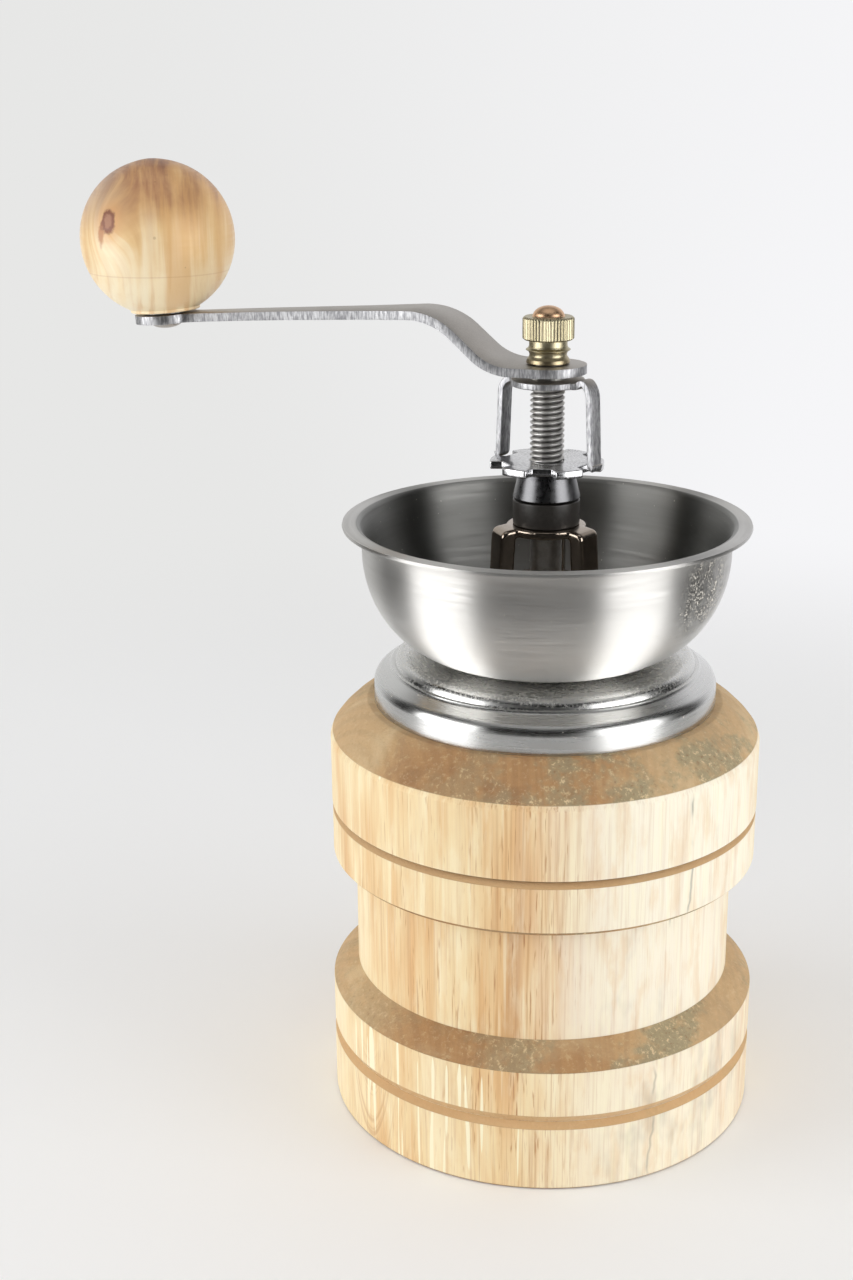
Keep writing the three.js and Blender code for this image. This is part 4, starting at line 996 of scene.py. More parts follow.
TOP_RADIUS = 51.3
TOP_EDGE = 93.6
TOP_FLAT = 102.4
TOP_FLAT_RADIUS = 42.3
BOSS_RADIUS = 29.2
HOUSING_HOLE = 19.3
SPIGOT_RADIUS = 37.6
CHAMBER_RADIUS = 31.6
RING_BOTTOM = 77.15


def make_top_ring():
    bottom, boss_top = heights("top_ring")
    outline = [
        (CHAMBER_RADIUS, bottom, 0.5), (SPIGOT_RADIUS, bottom, 0.8), (SPIGOT_RADIUS, RING_BOTTOM),
        (TOP_RADIUS, RING_BOTTOM, 0.35), (TOP_RADIUS, TOP_EDGE, 0.4), (50.8, 95.0, 0.8),
        (49.4, 96.8, 3), (47.0, 99.1, 5), (44.4, 101.1, 3), (TOP_FLAT_RADIUS, TOP_FLAT, 1.2),
        (BOSS_RADIUS, TOP_FLAT), (BOSS_RADIUS, boss_top, 0.5), (HOUSING_HOLE, boss_top, 0.3),
        (HOUSING_HOLE, 95.3, 1), (CHAMBER_RADIUS, 86.2, 2),
    ]
    turned("top_ring_wood", outline, 256, "mill_top", "top_wood", TOP_WOOD, "top_ring")


# Steel flange and bowl

SHEET = 0.8
FLANGE_RADIUS = 40.6


def make_flange():
    _, top = heights("flange")
    line = [(FLANGE_RADIUS, TOP_FLAT + 0.02)]
    line += arc((37.6, 106.6), (3.0, 3.0), 0, 68, 14)
    line += arc((38.1, 112.0), (1.8, 1.8), 243, 207, 8)
    line += arc((33.0, 110.9), (2.7, 2.7), 8, 90, 14)
    line += [(HOUSING_HOLE, top)]
    piece = lathe("flange_steel", sheet_outline(line, SHEET), steps=256, loop=True, sharp=50)
    rides(piece, "mill_top", "brushed_steel", FLANGE_STEEL, "flange")


BOWL_RADIUS = 43.0
BOWL_FLAT_RADIUS = 21.5
BOWL_EQUATOR = 139.2
BOWL_FLARE = 0.5
BOWL_SPREAD = 0.9
LIP_RADIUS = 47.5


def make_bowl():
    bottom, top = heights("hopper_bowl")
    curve = (BOWL_RADIUS - BOWL_FLAT_RADIUS, BOWL_EQUATOR - bottom)
    neck_top = top - SHEET - BOWL_FLARE
    neck_radius = BOWL_RADIUS + BOWL_SPREAD
    line = [(HOUSING_HOLE, bottom)]
    line += arc((BOWL_FLAT_RADIUS, BOWL_EQUATOR), curve, -90, 0, 40)
    line += [(BOWL_RADIUS + 0.12, BOWL_EQUATOR + 1.6), (BOWL_RADIUS + 0.45 * BOWL_SPREAD, neck_top - 1.4)]
    line += arc((neck_radius + BOWL_FLARE, neck_top), (BOWL_FLARE, BOWL_FLARE), 180, 90, 12)
    line += [(LIP_RADIUS - 0.15, top - SHEET)]
    edge = [(LIP_RADIUS, top - SHEET / 2)]
    outline = sheet_outline(line, SHEET)
    outline = outline[:len(line)] + edge + outline[len(line):]
    piece = lathe("bowl_steel", outline, steps=320, loop=True, sharp=50)
    rides(piece, "mill_top", "brushed_steel", STEEL, "hopper_bowl")


# Cast burr housing

ARM_ANGLES = (-51, 69, 189)
SCREW_ANGLES = (9, 129, 249)
SCREW_CIRCLE = 21.7
SCREW_HOLE = 1.95
ARM_WIDTH = 7.0
HUB_RADIUS = 9.3
TUBE_RADIUS = 19.0
BURR_BORE = 17.4
THROAT_RADIUS = 15.5
FOOT_RING_RADIUS = 25.0
FOOT_RING_BOTTOM = 115.0
FOOT_RING_TOP = 117.4
HUB_TOP = 144.7
HUB_BOTTOM = 142.8
WEB_BOTTOM = 127.4
WEB_TOP = 130.4
BOSS_TOP = 131.8
BUSH_HOLE = 5.35
THROAT_BOTTOM = 110.2
WEB_BOSS_RADIUS = 8.0
SPOKE_HALF = 3
SPOKE_ENDS = (-11.5, -5.0)
FILLET_ROUNDS = 12


def housing_arm(theta):
    outer = [(22.5, FOOT_RING_BOTTOM + 1.2), (19.3, FOOT_RING_TOP + 2.2, 4), (15.2, 125.0, 8),
             (13.1, 132.4, 12), (12.4, HUB_TOP - 0.4, 2.4), (9.0, HUB_TOP, 2), (7.0, HUB_TOP)]
    inner = [(7.0, HUB_BOTTOM + 0.6), (8.8, HUB_BOTTOM, 1.0), (9.4, 132.6, 12), (11.4, 125.0, 8),
             (15.6, FOOT_RING_TOP + 1.6, 4), (18.0, FOOT_RING_BOTTOM + 1.2)]
    side = rounded(outer, 6) + rounded(inner, 6)
    half = ARM_WIDTH / 2
    arm = prism("arm", [(-half, -r, z) for r, z in side], [(half, -r, z) for r, z in side])
    return placed(bevelled(arm, 0.7), turned_by(theta))


def web_spoke(theta):
    low, high = SPOKE_ENDS
    outline = [(-SPOKE_HALF, low), (SPOKE_HALF, low), (SPOKE_HALF, high), (-SPOKE_HALF, high)]
    return placed(extruded("spoke", outline, WEB_BOTTOM, WEB_TOP), turned_by(theta))


def make_housing():
    bottom, _ = heights("burr_housing")
    outline = [
        (BURR_BORE, bottom, 0.2), (TUBE_RADIUS, bottom, 0.3), (TUBE_RADIUS, FOOT_RING_BOTTOM),
        (21.5, FOOT_RING_BOTTOM, 0.2), (FOOT_RING_RADIUS, FOOT_RING_BOTTOM + 1.0, 0.5),
        (FOOT_RING_RADIUS, FOOT_RING_TOP, 0.7), (BURR_BORE, FOOT_RING_TOP, 0.4),
        (THROAT_RADIUS, FOOT_RING_BOTTOM, 0.6), (THROAT_RADIUS, THROAT_BOTTOM), (BURR_BORE, THROAT_BOTTOM),
    ]
    body = lathe("burr_housing_cast", rounded(outline, loop=True), steps=128, loop=True)
    hub = cylinder(HUB_RADIUS, HUB_BOTTOM, HUB_TOP)
    boss = cylinder(WEB_BOSS_RADIUS, WEB_BOTTOM, BOSS_TOP)
    members = [hub, boss] + [housing_arm(t) for t in ARM_ANGLES] + [web_spoke(t) for t in ARM_ANGLES]
    combined(body, "UNION", *members)
    soften(body, 0.3, FILLET_ROUNDS)
    holes = [cylinder(BUSH_HOLE, WEB_BOTTOM - 2, HUB_TOP + 2)]
    for theta in SCREW_ANGLES:
        place = polar(SCREW_CIRCLE, theta)
        holes.append(cylinder(SCREW_HOLE, bottom - 2, FOOT_RING_TOP + 2, 32, place))
    combined(body, "DIFFERENCE", *holes, sharp=50)
    rides(body, "mill_top", "cast_metal", CAST, "burr_housing")


# Bushes, adjusting nut and notched disc

SHAFT_HOLE = 4.06


def make_bushes():
    bottom, top = heights("top_bush")
    outline = [
        (SHAFT_HOLE, bottom), (5.1, bottom, 0.2), (5.1, HUB_TOP + 0.05), (7.75, HUB_TOP + 0.05, 0.35),
        (7.75, top, 0.25), (SHAFT_HOLE, top, 0.2),
    ]
    turned("top_bush_black", outline, 128, "mill_top", "black_plastic", PLASTIC, "top_bush")
    bottom, top = heights("guide_bush")
    outline = [
        (SHAFT_HOLE, bottom, 0.2), (6.6, bottom, 0.25), (6.6, bottom + 1.0, 0.2),
        (5.1, bottom + 1.0), (5.1, top, 0.2), (SHAFT_HOLE, top, 0.2),
    ]
    turned("guide_bush_black", outline, 96, "mill_top", "black_plastic", PLASTIC, "guide_bush")


def make_adjusting_nut():
    bottom, top = heights("adjusting_nut")
    outline = [
        (SHAFT_HOLE, bottom), (7.55, bottom, 0.1), (7.8, bottom + 0.3, 0.2), (6.45, top - 0.6, 0.3),
        (6.0, top), (SHAFT_HOLE, top),
    ]
    turned("adjusting_nut_plated", outline, 160, "adjuster", "chrome", CONE, "adjusting_nut")


DISC_RADIUS = 13.12
NOTCH_COUNT = 6
FIRST_NOTCH = 9
NOTCH_FLOOR_RADIUS = 10.1
NOTCH_FLOOR_HALF = 2.3
NOTCH_MOUTH_HALF = 3.45


def make_disc():
    bottom, top = heights("notched_disc")
    mouth_out = math.sqrt(DISC_RADIUS ** 2 - NOTCH_MOUTH_HALF ** 2)
    edge = math.degrees(math.asin(NOTCH_MOUTH_HALF / DISC_RADIUS))
    corners = (
        (mouth_out, -NOTCH_MOUTH_HALF, 0.7), (NOTCH_FLOOR_RADIUS, -NOTCH_FLOOR_HALF, 0.5),
        (NOTCH_FLOOR_RADIUS, NOTCH_FLOOR_HALF, 0.5), (mouth_out, NOTCH_MOUTH_HALF, 0.7),
    )
    outline = []
    for theta in [FIRST_NOTCH + 360 / NOTCH_COUNT * i for i in range(NOTCH_COUNT)]:
        out = Vector(polar(1, theta))
        side = Vector(polar(1, theta + 90))
        outline += [(*(out * along + side * beside), rounding) for along, beside, rounding in corners]
        rim = np.linspace(theta + edge, theta + 360 / NOTCH_COUNT - edge, 12)
        outline += [polar(DISC_RADIUS, t) for t in rim[1:-1]]
    piece = extruded("notched_disc_plated", rounded(outline, loop=True), bottom, top)
    bevelled(piece, 0.28)
    combined(piece, "DIFFERENCE", cylinder(SHAFT_HOLE, bottom - 1, top + 1))
    rides(piece, "adjuster", "chrome", CHROME, "notched_disc")


# Shaft with its thread

THREAD_RADIUS = 3.96
THREAD_DEPTH = 0.72
THREAD_PITCH = 1.25
CLIP_FLAT = 3.1
CRANK_FLAT = 3.05
CRANK_SEAT_RADIUS = 3.6
STUD_RADIUS = 2.95
STUD_PITCH = 1.0
STUD_DEPTH = 0.55
ROOT_RADIUS = 3.7
BURR_FLAT = 3.0


def threaded(name, radius, depth, pitch, bottom, top, steps=72, rows=18):
    """A right-handed thread whose rows of points follow the helix. It runs out to its root at both ends."""
    count = math.ceil((top - bottom) / pitch * rows) + rows
    vertices = []
    for i in range(-rows, count + 1):
        dip = (0.5 + 0.5 * math.cos(2 * math.pi * i / rows)) ** 1.5
        for j in range(steps):
            z = min(top, max(bottom, bottom + pitch * (i / rows + j / steps)))
            runout = min(1, min(z - bottom, top - z) / 0.5)
            r = radius - depth * (1 - runout * (1 - dip))
            angle = 2 * math.pi * j / steps
            vertices.append((r * math.cos(angle), r * math.sin(angle), z))
    last = len(vertices) // steps - 1
    faces = []
    for i in range(last):
        for j in range(steps - 1):
            a = i * steps + j
            faces.append((a, a + 1, a + steps + 1, a + steps))
        low, high = min(i + rows, last), min(i + rows + 1, last)
        a = i * steps + steps - 1
        if low < high:
            faces.append((a, low * steps, high * steps, a + steps))
    return closed(new_object(name, vertices, faces), 180, 1e-6, fill=True)


def rod(radius, bottom, top, steps=72):
    return lathe("rod", [(0, bottom), (radius, bottom), (radius, top), (0, top)], steps)


def make_shaft():
    bottom, top = heights("shaft")
    nut_low, _ = heights("adjusting_nut")
    plate_low = CLIP_PLATE_TOP - CLIP_THICKNESS
    crank_low, _ = heights("crank_arm")
    burr_low, burr_top = heights("inner_burr")
    crank_top = crank_low + CRANK_THICKNESS
    body = threaded("shaft_threaded", THREAD_RADIUS, THREAD_DEPTH, THREAD_PITCH, nut_low, plate_low - 0.25)
    smooth = rod(ROOT_RADIUS, burr_top - 0.3, nut_low + 0.37)
    keyed = bevelled(double_d(ROOT_RADIUS, BURR_FLAT, burr_low, burr_top), 0.15)
    lower = threaded("stud", STUD_RADIUS, STUD_DEPTH, STUD_PITCH, bottom, burr_low + 0.3, steps=48, rows=8)
    clip_seat = bevelled(double_d(THREAD_RADIUS, CLIP_FLAT, plate_low - 0.35, crank_low - 0.3), 0.15)
    crank_seat = bevelled(double_d(CRANK_SEAT_RADIUS, CRANK_FLAT, crank_low - 0.5, crank_top + 0.1), 0.12)
    upper = threaded("stud", STUD_RADIUS, STUD_DEPTH, STUD_PITCH, crank_top, top, steps=48, rows=8)
    core = rod(2.3, bottom + 1, top - 1, steps=48)
    combined(body, "UNION", core, smooth, keyed, lower, clip_seat, crank_seat, upper, sharp=70)
    rides(body, "drive_shaft", "shaft_steel", SHAFT, "shaft")


# Burr set, spring and the fasteners under it

FINE_TEETH = 36
FINE_DEPTH = 0.9
FINE_SLANT = 13
COARSE_TEETH = 6
COARSE_DEPTH = 2.2
COARSE_SLANT = 30


def tooth_share(angle, rise, count, slant):
    """How far a point lies along its tooth, 0..1. The teeth move on by one over the height of the slant."""
    return (angle / (2 * math.pi) * count + rise / slant) % 1


def make_burrs():
    low, high = heights("outer_burr")
    low_in, high_in = heights("inner_burr")
    band_top = low + 5

    def fine(angle, z):
        return FINE_DEPTH * tooth_share(angle, z - low, FINE_TEETH, FINE_SLANT)

    def ring_teeth(angle, r, z):
        return 0.8 * fine(angle, z) if r < 16.2 else 0

    def cone_teeth(angle, r, z):
        if 8 < r < 12.5:
            return -COARSE_DEPTH * tooth_share(angle, z - low, COARSE_TEETH, COARSE_SLANT)
        return -fine(angle, z) if r >= 13.0 and z > low_in + 0.1 else 0

    outline = [(15.2, low), (17.1, low, 0.2), (17.1, high, 0.2), (15.9, high), (13.6, band_top)]
    piece = lathe("outer_burr_cast", rounded(outline, loop=True), 288, loop=True, wave=ring_teeth, sharp=30)
    rides(piece, "mill_top", "burr_steel", BURR, "outer_burr")
    cone = [(0, low_in), (13.0, low_in), (14.6, low), (13.1, band_top), (11.4, band_top + 2.5),
            (9.4, band_top + 6.3), (6.4, high_in), (0, high_in)]
    piece = lathe("inner_burr_cast", cone, 288, wave=cone_teeth, sharp=30)
    key = double_d(ROOT_RADIUS + 0.1, BURR_FLAT + 0.1, low_in - 1, high_in + 1)
    combined(piece, "DIFFERENCE", key, sharp=30)
    rides(piece, "drive_shaft", "burr_steel", BURR, "inner_burr")


SPRING_WIRE = 1.0
SPRING_RADIUS = 5.3
SPRING_TURNS = 5
SPRING_STEPS = 160


def make_spring():
    low, high = heights("burr_spring")
    low, high = low + SPRING_WIRE / 2, high - SPRING_WIRE / 2
    points = []
    for i in range(SPRING_STEPS + 1):
        share = i / SPRING_STEPS
        angle = 2 * math.pi * SPRING_TURNS * share
        points.append((SPRING_RADIUS * math.cos(angle), SPRING_RADIUS * math.sin(angle),
                       low + (high - low) * share))
    piece = tube("burr_spring_wire", points, SPRING_WIRE / 2)
    piece.data.materials.append(SHAFT)
    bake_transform(piece)
    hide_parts("burr_spring")


WASHER_RADIUS = 6.0
BURR_NUT_ACROSS = 10.0
BURR_NUT_FACE_RADIUS = 5.1


def make_burr_fasteners():
    for node, hole in (("spring_washer", SHAFT_HOLE), ("burr_washer", STUD_RADIUS + 0.1)):
        bottom, top = heights(node)
        outline = [(hole, bottom, 0.08), (WASHER_RADIUS, bottom, 0.15), (WASHER_RADIUS, top, 0.15),
                   (hole, top, 0.08)]
        turned(node + "_steel", outline, 96, "drive_shaft", "zinc_steel", ZINC, node, rounding=3)
    bottom, top = heights("burr_nut")
    corner = BURR_NUT_ACROSS / 2 / math.cos(math.pi / 6)
    chamfer = [(0, bottom), (BURR_NUT_FACE_RADIUS, bottom), (corner, bottom + 0.5), (corner, top - 0.5),
               (BURR_NUT_FACE_RADIUS, top), (0, top)]
    nut = lathe("burr_nut_steel", chamfer, steps=96)
    hexagon = extruded("tool", circle(corner, 6), bottom - 1, top + 1)
    combined(nut, "INTERSECT", hexagon)
    combined(nut, "DIFFERENCE", cylinder(STUD_RADIUS + 0.1, bottom - 2, top + 2, 64))
    rides(nut, "drive_shaft", "zinc_steel", ZINC, "burr_nut")


def make_housing_screws():
    for i, theta in enumerate(SCREW_ANGLES):
        node = f"housing_screw_{i + 1}"
        low, high = heights(node)
        seat = high - 1.7
        outline = [(0, low), (1.1, low + 2.5), (1.7, low + 3.5), (1.7, seat), (2.7, seat, 0.1)]
        outline += arc((0, seat + 0.35), (2.7, high - seat - 0.35), 0, 88, 10) + [(0, high)]
        piece = lathe(node + "_steel", rounded(outline), steps=64)
        slot = [(-4, -0.4), (4, -0.4), (4, 0.4), (-4, 0.4)]
        combined(piece, "DIFFERENCE", extruded("tool", slot, high - 0.9, high + 1))
        placed(piece, Matrix.Translation((*polar(SCREW_CIRCLE, theta), 0)) @ turned_by(theta * 2))
        rides(piece, "mill_top", "zinc_steel", ZINC, node)


# Lock clip

CLIP_THICKNESS = 1.5
CLIP_PLATE_TOP = heights("crank_arm")[0] - 1.3
CLIP_PLATE_RADIUS = 8.4
CLIP_LEG_HALF = 1.85
CLIP_TOE = ((68, 0.95), (0, 0.35))
CLIP_TOE_REACH = {True: 14.1, False: 13.75}
CLIP_LEG_SPLAY = 2.5
CLIP_THETA = 69


def clip_half(hump, toe):
    """The places of one half of the clip, from the shaft's axis to its toe. Its leg splays outwards.

    The half with the hump first bends up, and then down into its leg."""
    middle = CLIP_PLATE_TOP - CLIP_THICKNESS / 2
    if hump:
        bends = [(48, 0.9), (0, 0.2), (-95, 1.05), (CLIP_LEG_SPLAY - 43, 4.9)]
    else:
        bends = [(CLIP_LEG_SPLAY - 90, 3.3)]
    bend_reach, bend_top, _ = walk((0, middle, 0), bends, 0.25)[-1]
    toe_reach, toe_drop, _ = walk((0, 0, CLIP_LEG_SPLAY - 90), CLIP_TOE, 0.25)[-1]
    half = CLIP_THICKNESS / 2
    leg = (bend_top + toe_drop - half - toe) / math.cos(math.radians(CLIP_LEG_SPLAY))
    leg_reach = leg * math.sin(math.radians(CLIP_LEG_SPLAY))
    level = CLIP_TOE_REACH[hump] - toe_reach - leg_reach - bend_reach
    return walk((0, middle, 0), [(0, level), *bends, (0, leg), *CLIP_TOE], 0.25)


def clip_width(distance):
    """Half the width of the clip's blank at a distance from its centre."""
    if distance < CLIP_PLATE_RADIUS:
        round_plate = math.sqrt(CLIP_PLATE_RADIUS ** 2 - distance ** 2)
        return max(round_plate, CLIP_LEG_HALF + 0.9 * max(0, 1 - (CLIP_PLATE_RADIUS - distance) / 0.6))
    flare = max(0, 1 - (distance - CLIP_PLATE_RADIUS) / 1.4)
    return CLIP_LEG_HALF + 0.9 * flare ** 2


def make_clip():
    toe, _ = heights("lock_clip")
    distances = [*np.linspace(0, 7.6, 20), *np.linspace(7.7, 16, 60), *np.linspace(16.4, 40, 60)]

    def fine(places):
        total = distances_along(places)[-1]
        kept = [d for d in distances if d < total - 0.2] + [total]
        return resample(places, kept), kept

    right, right_at = fine(clip_half(True, toe))
    left, left_at = fine(clip_half(False, toe))
    mirrored = [(-x, z, -heading) for x, z, heading in left[:0:-1]]
    widths = [clip_width(d) for d in left_at[:0:-1] + right_at]
    piece = strip("lock_clip_steel", mirrored + right, widths, CLIP_THICKNESS)
    bevelled(piece, 0.32)
    bottom = CLIP_PLATE_TOP - CLIP_THICKNESS - 1
    seat = double_d(THREAD_RADIUS + 0.1, CLIP_FLAT + 0.1, bottom, CLIP_PLATE_TOP + 1)
    combined(piece, "DIFFERENCE", seat)
    placed(piece, turned_by(CLIP_THETA - 90))
    rides(piece, "lock_clip", "zinc_steel", ZINC, "lock_clip")


# Crank arm

CRANK_THICKNESS = 2.0
CRANK_EYE_RADIUS = 8.8
CRANK_BEND_START = 6.6
CRANK_LOW_BEND = 13.1
CRANK_HIGH_BEND = 16.4
CRANK_BEND_ANGLE = 41.8
CRANK_RISE = 11.6
CRANK_REACH = 95.2
CRANK_SLOPE = 2.8
CRANK_TIP_TILT = 3.8
CRANK_TIP_CURVE = 30.0
KNOB_EYE_RADIUS = 7.46
CRANK_WIDTHS = (
    (0, 8.8), (16, 8.7), (24, 8.4), (30, 7.7), (36, 6.7), (47, 5.2), (66, 4.1), (84, 3.7), (110, 3.6),
)


def crank_places():
    """The middle of the strip's thickness, from behind the shaft to past the knob's eye."""
    bend = math.radians(CRANK_BEND_ANGLE)
    bend_rise = (CRANK_LOW_BEND + CRANK_HIGH_BEND) * (1 - math.cos(bend))
    start_z = heights("crank_arm")[0] + CRANK_THICKNESS / 2
    rising = [(0, CRANK_BEND_START), (CRANK_BEND_ANGLE, CRANK_LOW_BEND),
              (0, (CRANK_RISE - bend_rise) / math.sin(bend)),
              (-CRANK_BEND_ANGLE - CRANK_SLOPE, CRANK_HIGH_BEND)]
    top = walk((0, start_z, 0), rising, 0.5)[-1]
    tip_bend = CRANK_TIP_TILT - CRANK_SLOPE
    tip_run = CRANK_TIP_CURVE * math.cos(math.radians((CRANK_TIP_TILT + CRANK_SLOPE) / 2))
    eye_run = KNOB_EYE_RADIUS * math.cos(math.radians(CRANK_TIP_TILT))
    level = (CRANK_REACH - top[0] - tip_run - eye_run) / math.cos(math.radians(CRANK_SLOPE))
    onward = [(0, level), (-tip_bend, CRANK_TIP_CURVE / math.radians(tip_bend)), (0, 2 * KNOB_EYE_RADIUS)]
    return walk((0, start_z, 0), rising + onward, 0.5)


def crank_half_width(distance, eye_place):
    """Half the width of the crank's strip. It flares just before the knob's eye."""
    before_eye = eye_place - distance
    eye = math.sqrt(max(KNOB_EYE_RADIUS ** 2 - before_eye ** 2, 0))
    if before_eye < 0:
        return eye
    flare = min(1, max(0, 1 - (before_eye - KNOB_EYE_RADIUS * 0.8) / 3.5))
    return max(np.interp(distance, *zip(*CRANK_WIDTHS)) + 0.7 * flare ** 2, eye)


def make_crank():
    places = crank_places()
    total = distances_along(places)[-1]
    eye_place = total - KNOB_EYE_RADIUS
    ends = [eye_place + KNOB_EYE_RADIUS * math.sin(math.radians(a)) for a in range(-90, 91, 5)]
    distances = [*np.arange(0, eye_place - KNOB_EYE_RADIUS, 0.9), *ends]
    distances[-1] = total - 0.01
    forward = resample(places, distances)
    widths = [crank_half_width(d, eye_place) for d in distances]
    back_at = [CRANK_EYE_RADIUS * math.sin(math.radians(a)) for a in range(89, 0, -4)]
    back = [(-d, places[0][1], 0) for d in back_at]
    back_widths = [math.sqrt(CRANK_EYE_RADIUS ** 2 - d ** 2) for d in back_at]
    piece = strip("crank_arm_steel", back + forward, back_widths + widths, CRANK_THICKNESS)
    bevelled(piece, 0.2, 2)
    placed(piece, turned_by(180))
    low = places[0][1] - CRANK_THICKNESS / 2
    seat = double_d(CRANK_SEAT_RADIUS + 0.1, CRANK_FLAT + 0.1, low - 1, low + CRANK_THICKNESS + 1)
    screw_hole = placed(cylinder(2.1, -6, 6, 48), KNOB_FRAME)
    combined(piece, "DIFFERENCE", seat, screw_hole)
    rides(piece, "crank", "zinc_steel", ZINC, "crank_arm")


# Thumb nut

KNURL_FLUTES = 48
KNURL_DEPTH = 0.17
KNURL_RADIUS = 5.8


def make_thumb_nut():
    low, high = heights("thumb_nut")
    stem = low + 5.25
    knurl_top = stem + 5.15
    outline = [
        (0, low + 8.1), (STUD_RADIUS + 0.1, low + 8.1), (STUD_RADIUS + 0.1, low, 0.1), (5.0, low, 0.2),
        (4.8, low + 0.9, 0.6), (4.15, low + 1.8, 1.0), (4.5, low + 2.65, 0.5), (5.15, low + 3.0, 0.12),
        (4.55, low + 3.45, 0.3), (4.35, low + 3.9, 0.3), (4.35, stem, 0.1), (5.45, stem, 0.15),
    ]
    outline = rounded(outline)
    outline += [(5.85, stem + 0.35 + 0.55 * i) for i in range(9)]
    outline += [(5.45, knurl_top), (4.3, knurl_top), (3.85, knurl_top - 0.1), (3.7, knurl_top + 0.1)]
    outline += arc((0, knurl_top), (3.6, high - knurl_top), 8, 88, 14) + [(0, high)]

    def flutes(angle, r, _):
        return -KNURL_DEPTH * (0.5 - 0.5 * math.cos(angle * KNURL_FLUTES)) if r > KNURL_RADIUS else 0

    piece = lathe("thumb_nut_brass", outline, steps=KNURL_FLUTES * 8, wave=flutes)
    rides(piece, "thumb_nut", "brass", BRASS, "thumb_nut")


# Knob, in its own tilted frame

KNOB_RADIUS = 18.3
KNOB_NECK_RADIUS = 8.3
KNOB_NECK_HEIGHT = 0.7
KNOB_BASE = 0.65
KNOB_PEAK = 0.15


def knob_frame():
    """The knob's frame: its origin is the middle of the eye's top face, and its +Z is the knob's axis."""
    spin = joint("knob_spin")
    axis = Vector(spin["axis"]).normalized()
    turn = Vector((0, 0, 1)).rotation_difference(axis).to_matrix().to_4x4()
    return Matrix.Translation(Vector(spin["pos_m"]) / MM) @ turn


KNOB_FRAME = knob_frame()


def make_knob():
    base = KNOB_BASE
    neck = base + KNOB_NECK_HEIGHT
    centre = neck + math.sqrt(KNOB_RADIUS ** 2 - KNOB_NECK_RADIUS ** 2)
    start = -math.degrees(math.acos(KNOB_NECK_RADIUS / KNOB_RADIUS))
    outline = rounded([
        (0, base + 13), (3.7, base + 13), (3.7, base, 0.2), (KNOB_NECK_RADIUS, base, 0.5),
        (KNOB_NECK_RADIUS + 0.05, neck),
    ])
    ball = arc((0, centre), (KNOB_RADIUS, KNOB_RADIUS), start, 90, 64)[1:]
    for r, z in ball:
        outline.append((r, z + (KNOB_PEAK * math.exp(-((r / 3.0) ** 2)) if z > centre else 0)))
    outline[-1] = (0, outline[-1][1])
    piece = placed(lathe("knob_wood", outline, steps=192, sharp=50), KNOB_FRAME)
    rides(piece, "knob", "knob_wood", knob_wood(), "knob")


def make_knob_fittings():
    insert = [(2.2, 0.95, 0.1), (3.6, 0.95, 0.15), (3.6, 11.9, 0.3), (2.2, 11.9)]
    turned("knob_insert_brass", insert, 64, "knob", "brass", BRASS, "knob_insert", stand=KNOB_FRAME)
    ring = [(2.1, 0.15, 0.05), (5.4, 0.15, 0.1), (5.4, 0.45, 0.1), (2.1, 0.45, 0.05)]
    turned("knob_washer_steel", ring, 96, "knob", "zinc_steel", ZINC, "knob_washer", rounding=3,
           stand=KNOB_FRAME)
    seat = -CRANK_THICKNESS - 0.05
    crown = arc((0, seat - 0.2), (3.6, 1.3), -90, 0, 12)[1:]
    outline = [(0, seat - 1.5)] + crown + [(3.6, seat), (2.0, seat), (2.0, 11.0), (0, 11.0)]
    turned("knob_screw_steel", outline, 64, "knob", "zinc_steel", ZINC, "knob_screw", loop=False,
           stand=KNOB_FRAME)


# Floor, backdrop and light

CAMERA_THETA = 15
LEFT_THETA = CAMERA_THETA - 74
RIGHT_THETA = CAMERA_THETA + 66
LEFT_PANEL_THETA = CAMERA_THETA - 67
RIGHT_PANEL_THETA = CAMERA_THETA + 58
# The backdrop's painted shade on the left, and its brighter right
BACKDROP_LEFT = srgb(231, 231, 230)
BACKDROP_RIGHT = srgb(246, 246, 248)
FLOOR_WHITE = srgb(248, 248, 248)
FLOOR_HALF = 12000
FLOOR_DROP = 0.05
FLOOR_FADE = (230, 580)
ROOM = (0.015, 0.015, 0.015 * 0.95)
PANEL = (4.0, 4.0, 4.0)
OVERHEAD = (0.7, 0.7, 0.7)
AMBIENT = (0.71, 0.71, 0.71)
LAMP_DISTANCE = 950
LAMP_HEIGHT = 300
LAMP_SIZE = (640, 560)
LAMP_TARGET = (0, 0, 120)
LEFT_WATTS = 3.8
RIGHT_WATTS = 3.4


def backdrop_color(direction):
    """The pale backdrop, with painted shade that makes it a little greyer on the left. direction is level
    and points away from the part.
    """
    return direction.toward(CAMERA_THETA + 90).band(-0.30, 0.25).mix(BACKDROP_LEFT, BACKDROP_RIGHT)


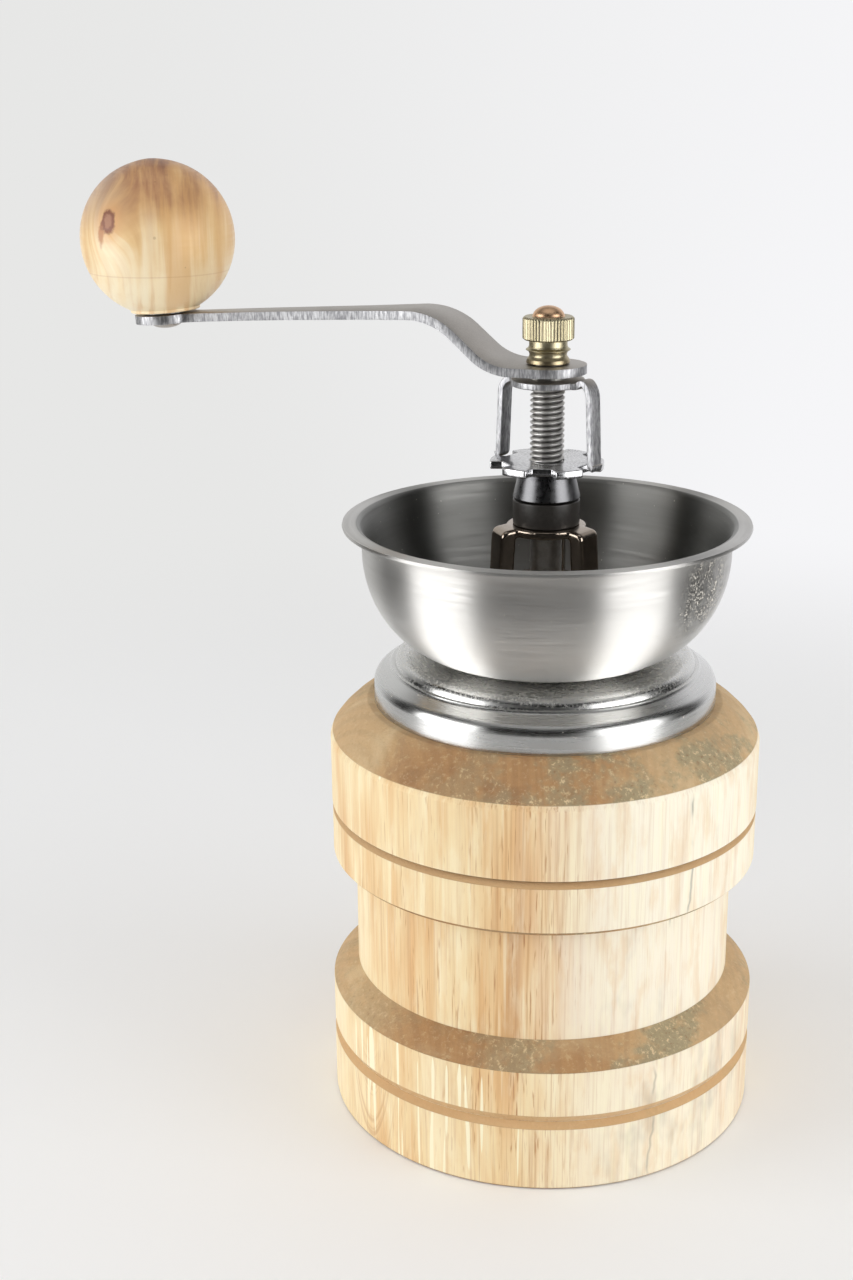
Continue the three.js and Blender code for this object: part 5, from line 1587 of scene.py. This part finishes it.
def add_stage():
    """A large pale floor. Its far part shows the backdrop's colour to the camera, so no horizon shows."""
    signs = ((-1, -1), (1, -1), (1, 1), (-1, 1))
    corners = [(FLOOR_HALF * x, FLOOR_HALF * y, -FLOOR_DROP) for x, y in signs]
    floor = new_object("floor", corners, [(0, 1, 2, 3)])
    paint = Paint("floor")
    paint.finish(FLOOR_WHITE, 0.9)
    far = paint.place.away_from((0, 0, 0)).length().band(*FLOOR_FADE)
    glow = far.new("Emission", {0: backdrop_color(paint.place.vector("NORMALIZE"))})
    clear = far.new("BsdfTransparent", {})
    camera_ray = source(paint.tree, "LightPath", "Is Camera Ray")
    beyond = far.new("MixShader", {0: camera_ray, 1: clear, 2: glow})
    near = Value(paint.tree, paint.shader.outputs[0])
    surface = far.new("MixShader", {0: far, 1: near, 2: beyond})
    plug(paint.tree, paint.tree.nodes["Material Output"].inputs["Surface"], surface)
    floor.data.materials.append(paint.material)


def add_lamp(name, theta, watts):
    """A softbox at an angle round the part."""
    data = bpy.data.lights.new(name, "AREA")
    data.shape = "RECTANGLE"
    data.size, data.size_y = (c * MM for c in LAMP_SIZE)
    data.energy = watts
    lamp = linked(name, data)
    lamp.visible_glossy = False
    lamp.location = Vector((*polar(LAMP_DISTANCE, theta), LAMP_HEIGHT)) * MM
    aim = Vector(LAMP_TARGET) * MM - lamp.location
    lamp.rotation_euler = aim.to_track_quat("-Z", "Y").to_euler()


def add_light():
    """The camera sees the backdrop all round. Metal sees it behind the part, and a dark room in front."""
    world = bpy.data.worlds.new("world")
    bpy.context.scene.world = world
    world.use_nodes = True
    tree = world.node_tree
    direction = source(tree, "TexCoord", "Generated")
    level = direction.around()
    rise = direction.z()
    backdrop = backdrop_color(level)
    behind = level.toward(CAMERA_THETA + 180).band(0.35, 0.75) * rise.band(0.85, 0.45)
    reflected = layered(ROOM, (behind, backdrop), (rise.band(0.78, 0.96), OVERHEAD))
    for theta in (LEFT_PANEL_THETA, RIGHT_PANEL_THETA):
        panel = level.toward(theta).band(0.90, 0.965) * rise.band(-0.90, -0.75) * rise.band(0.60, 0.40)
        reflected = layered(reflected, (panel, PANEL))
    glossy_ray = source(tree, "LightPath", "Is Glossy Ray")
    camera_ray = source(tree, "LightPath", "Is Camera Ray")
    seen = layered(AMBIENT, (glossy_ray, reflected), (camera_ray, backdrop))
    plug(tree, tree.nodes["Background"].inputs["Color"], seen)
    add_lamp("left_softbox", LEFT_THETA, LEFT_WATTS)
    add_lamp("right_softbox", RIGHT_THETA, RIGHT_WATTS)


make_container()
make_top_ring()
make_flange()
make_bowl()
make_housing()
make_bushes()
make_adjusting_nut()
make_disc()
make_shaft()
make_burrs()
make_spring()
make_burr_fasteners()
make_housing_screws()
make_clip()
make_crank()
make_thumb_nut()
make_knob()
make_knob_fittings()
add_stage()
add_light()

bpy.context.scene.view_settings.view_transform = "Standard"
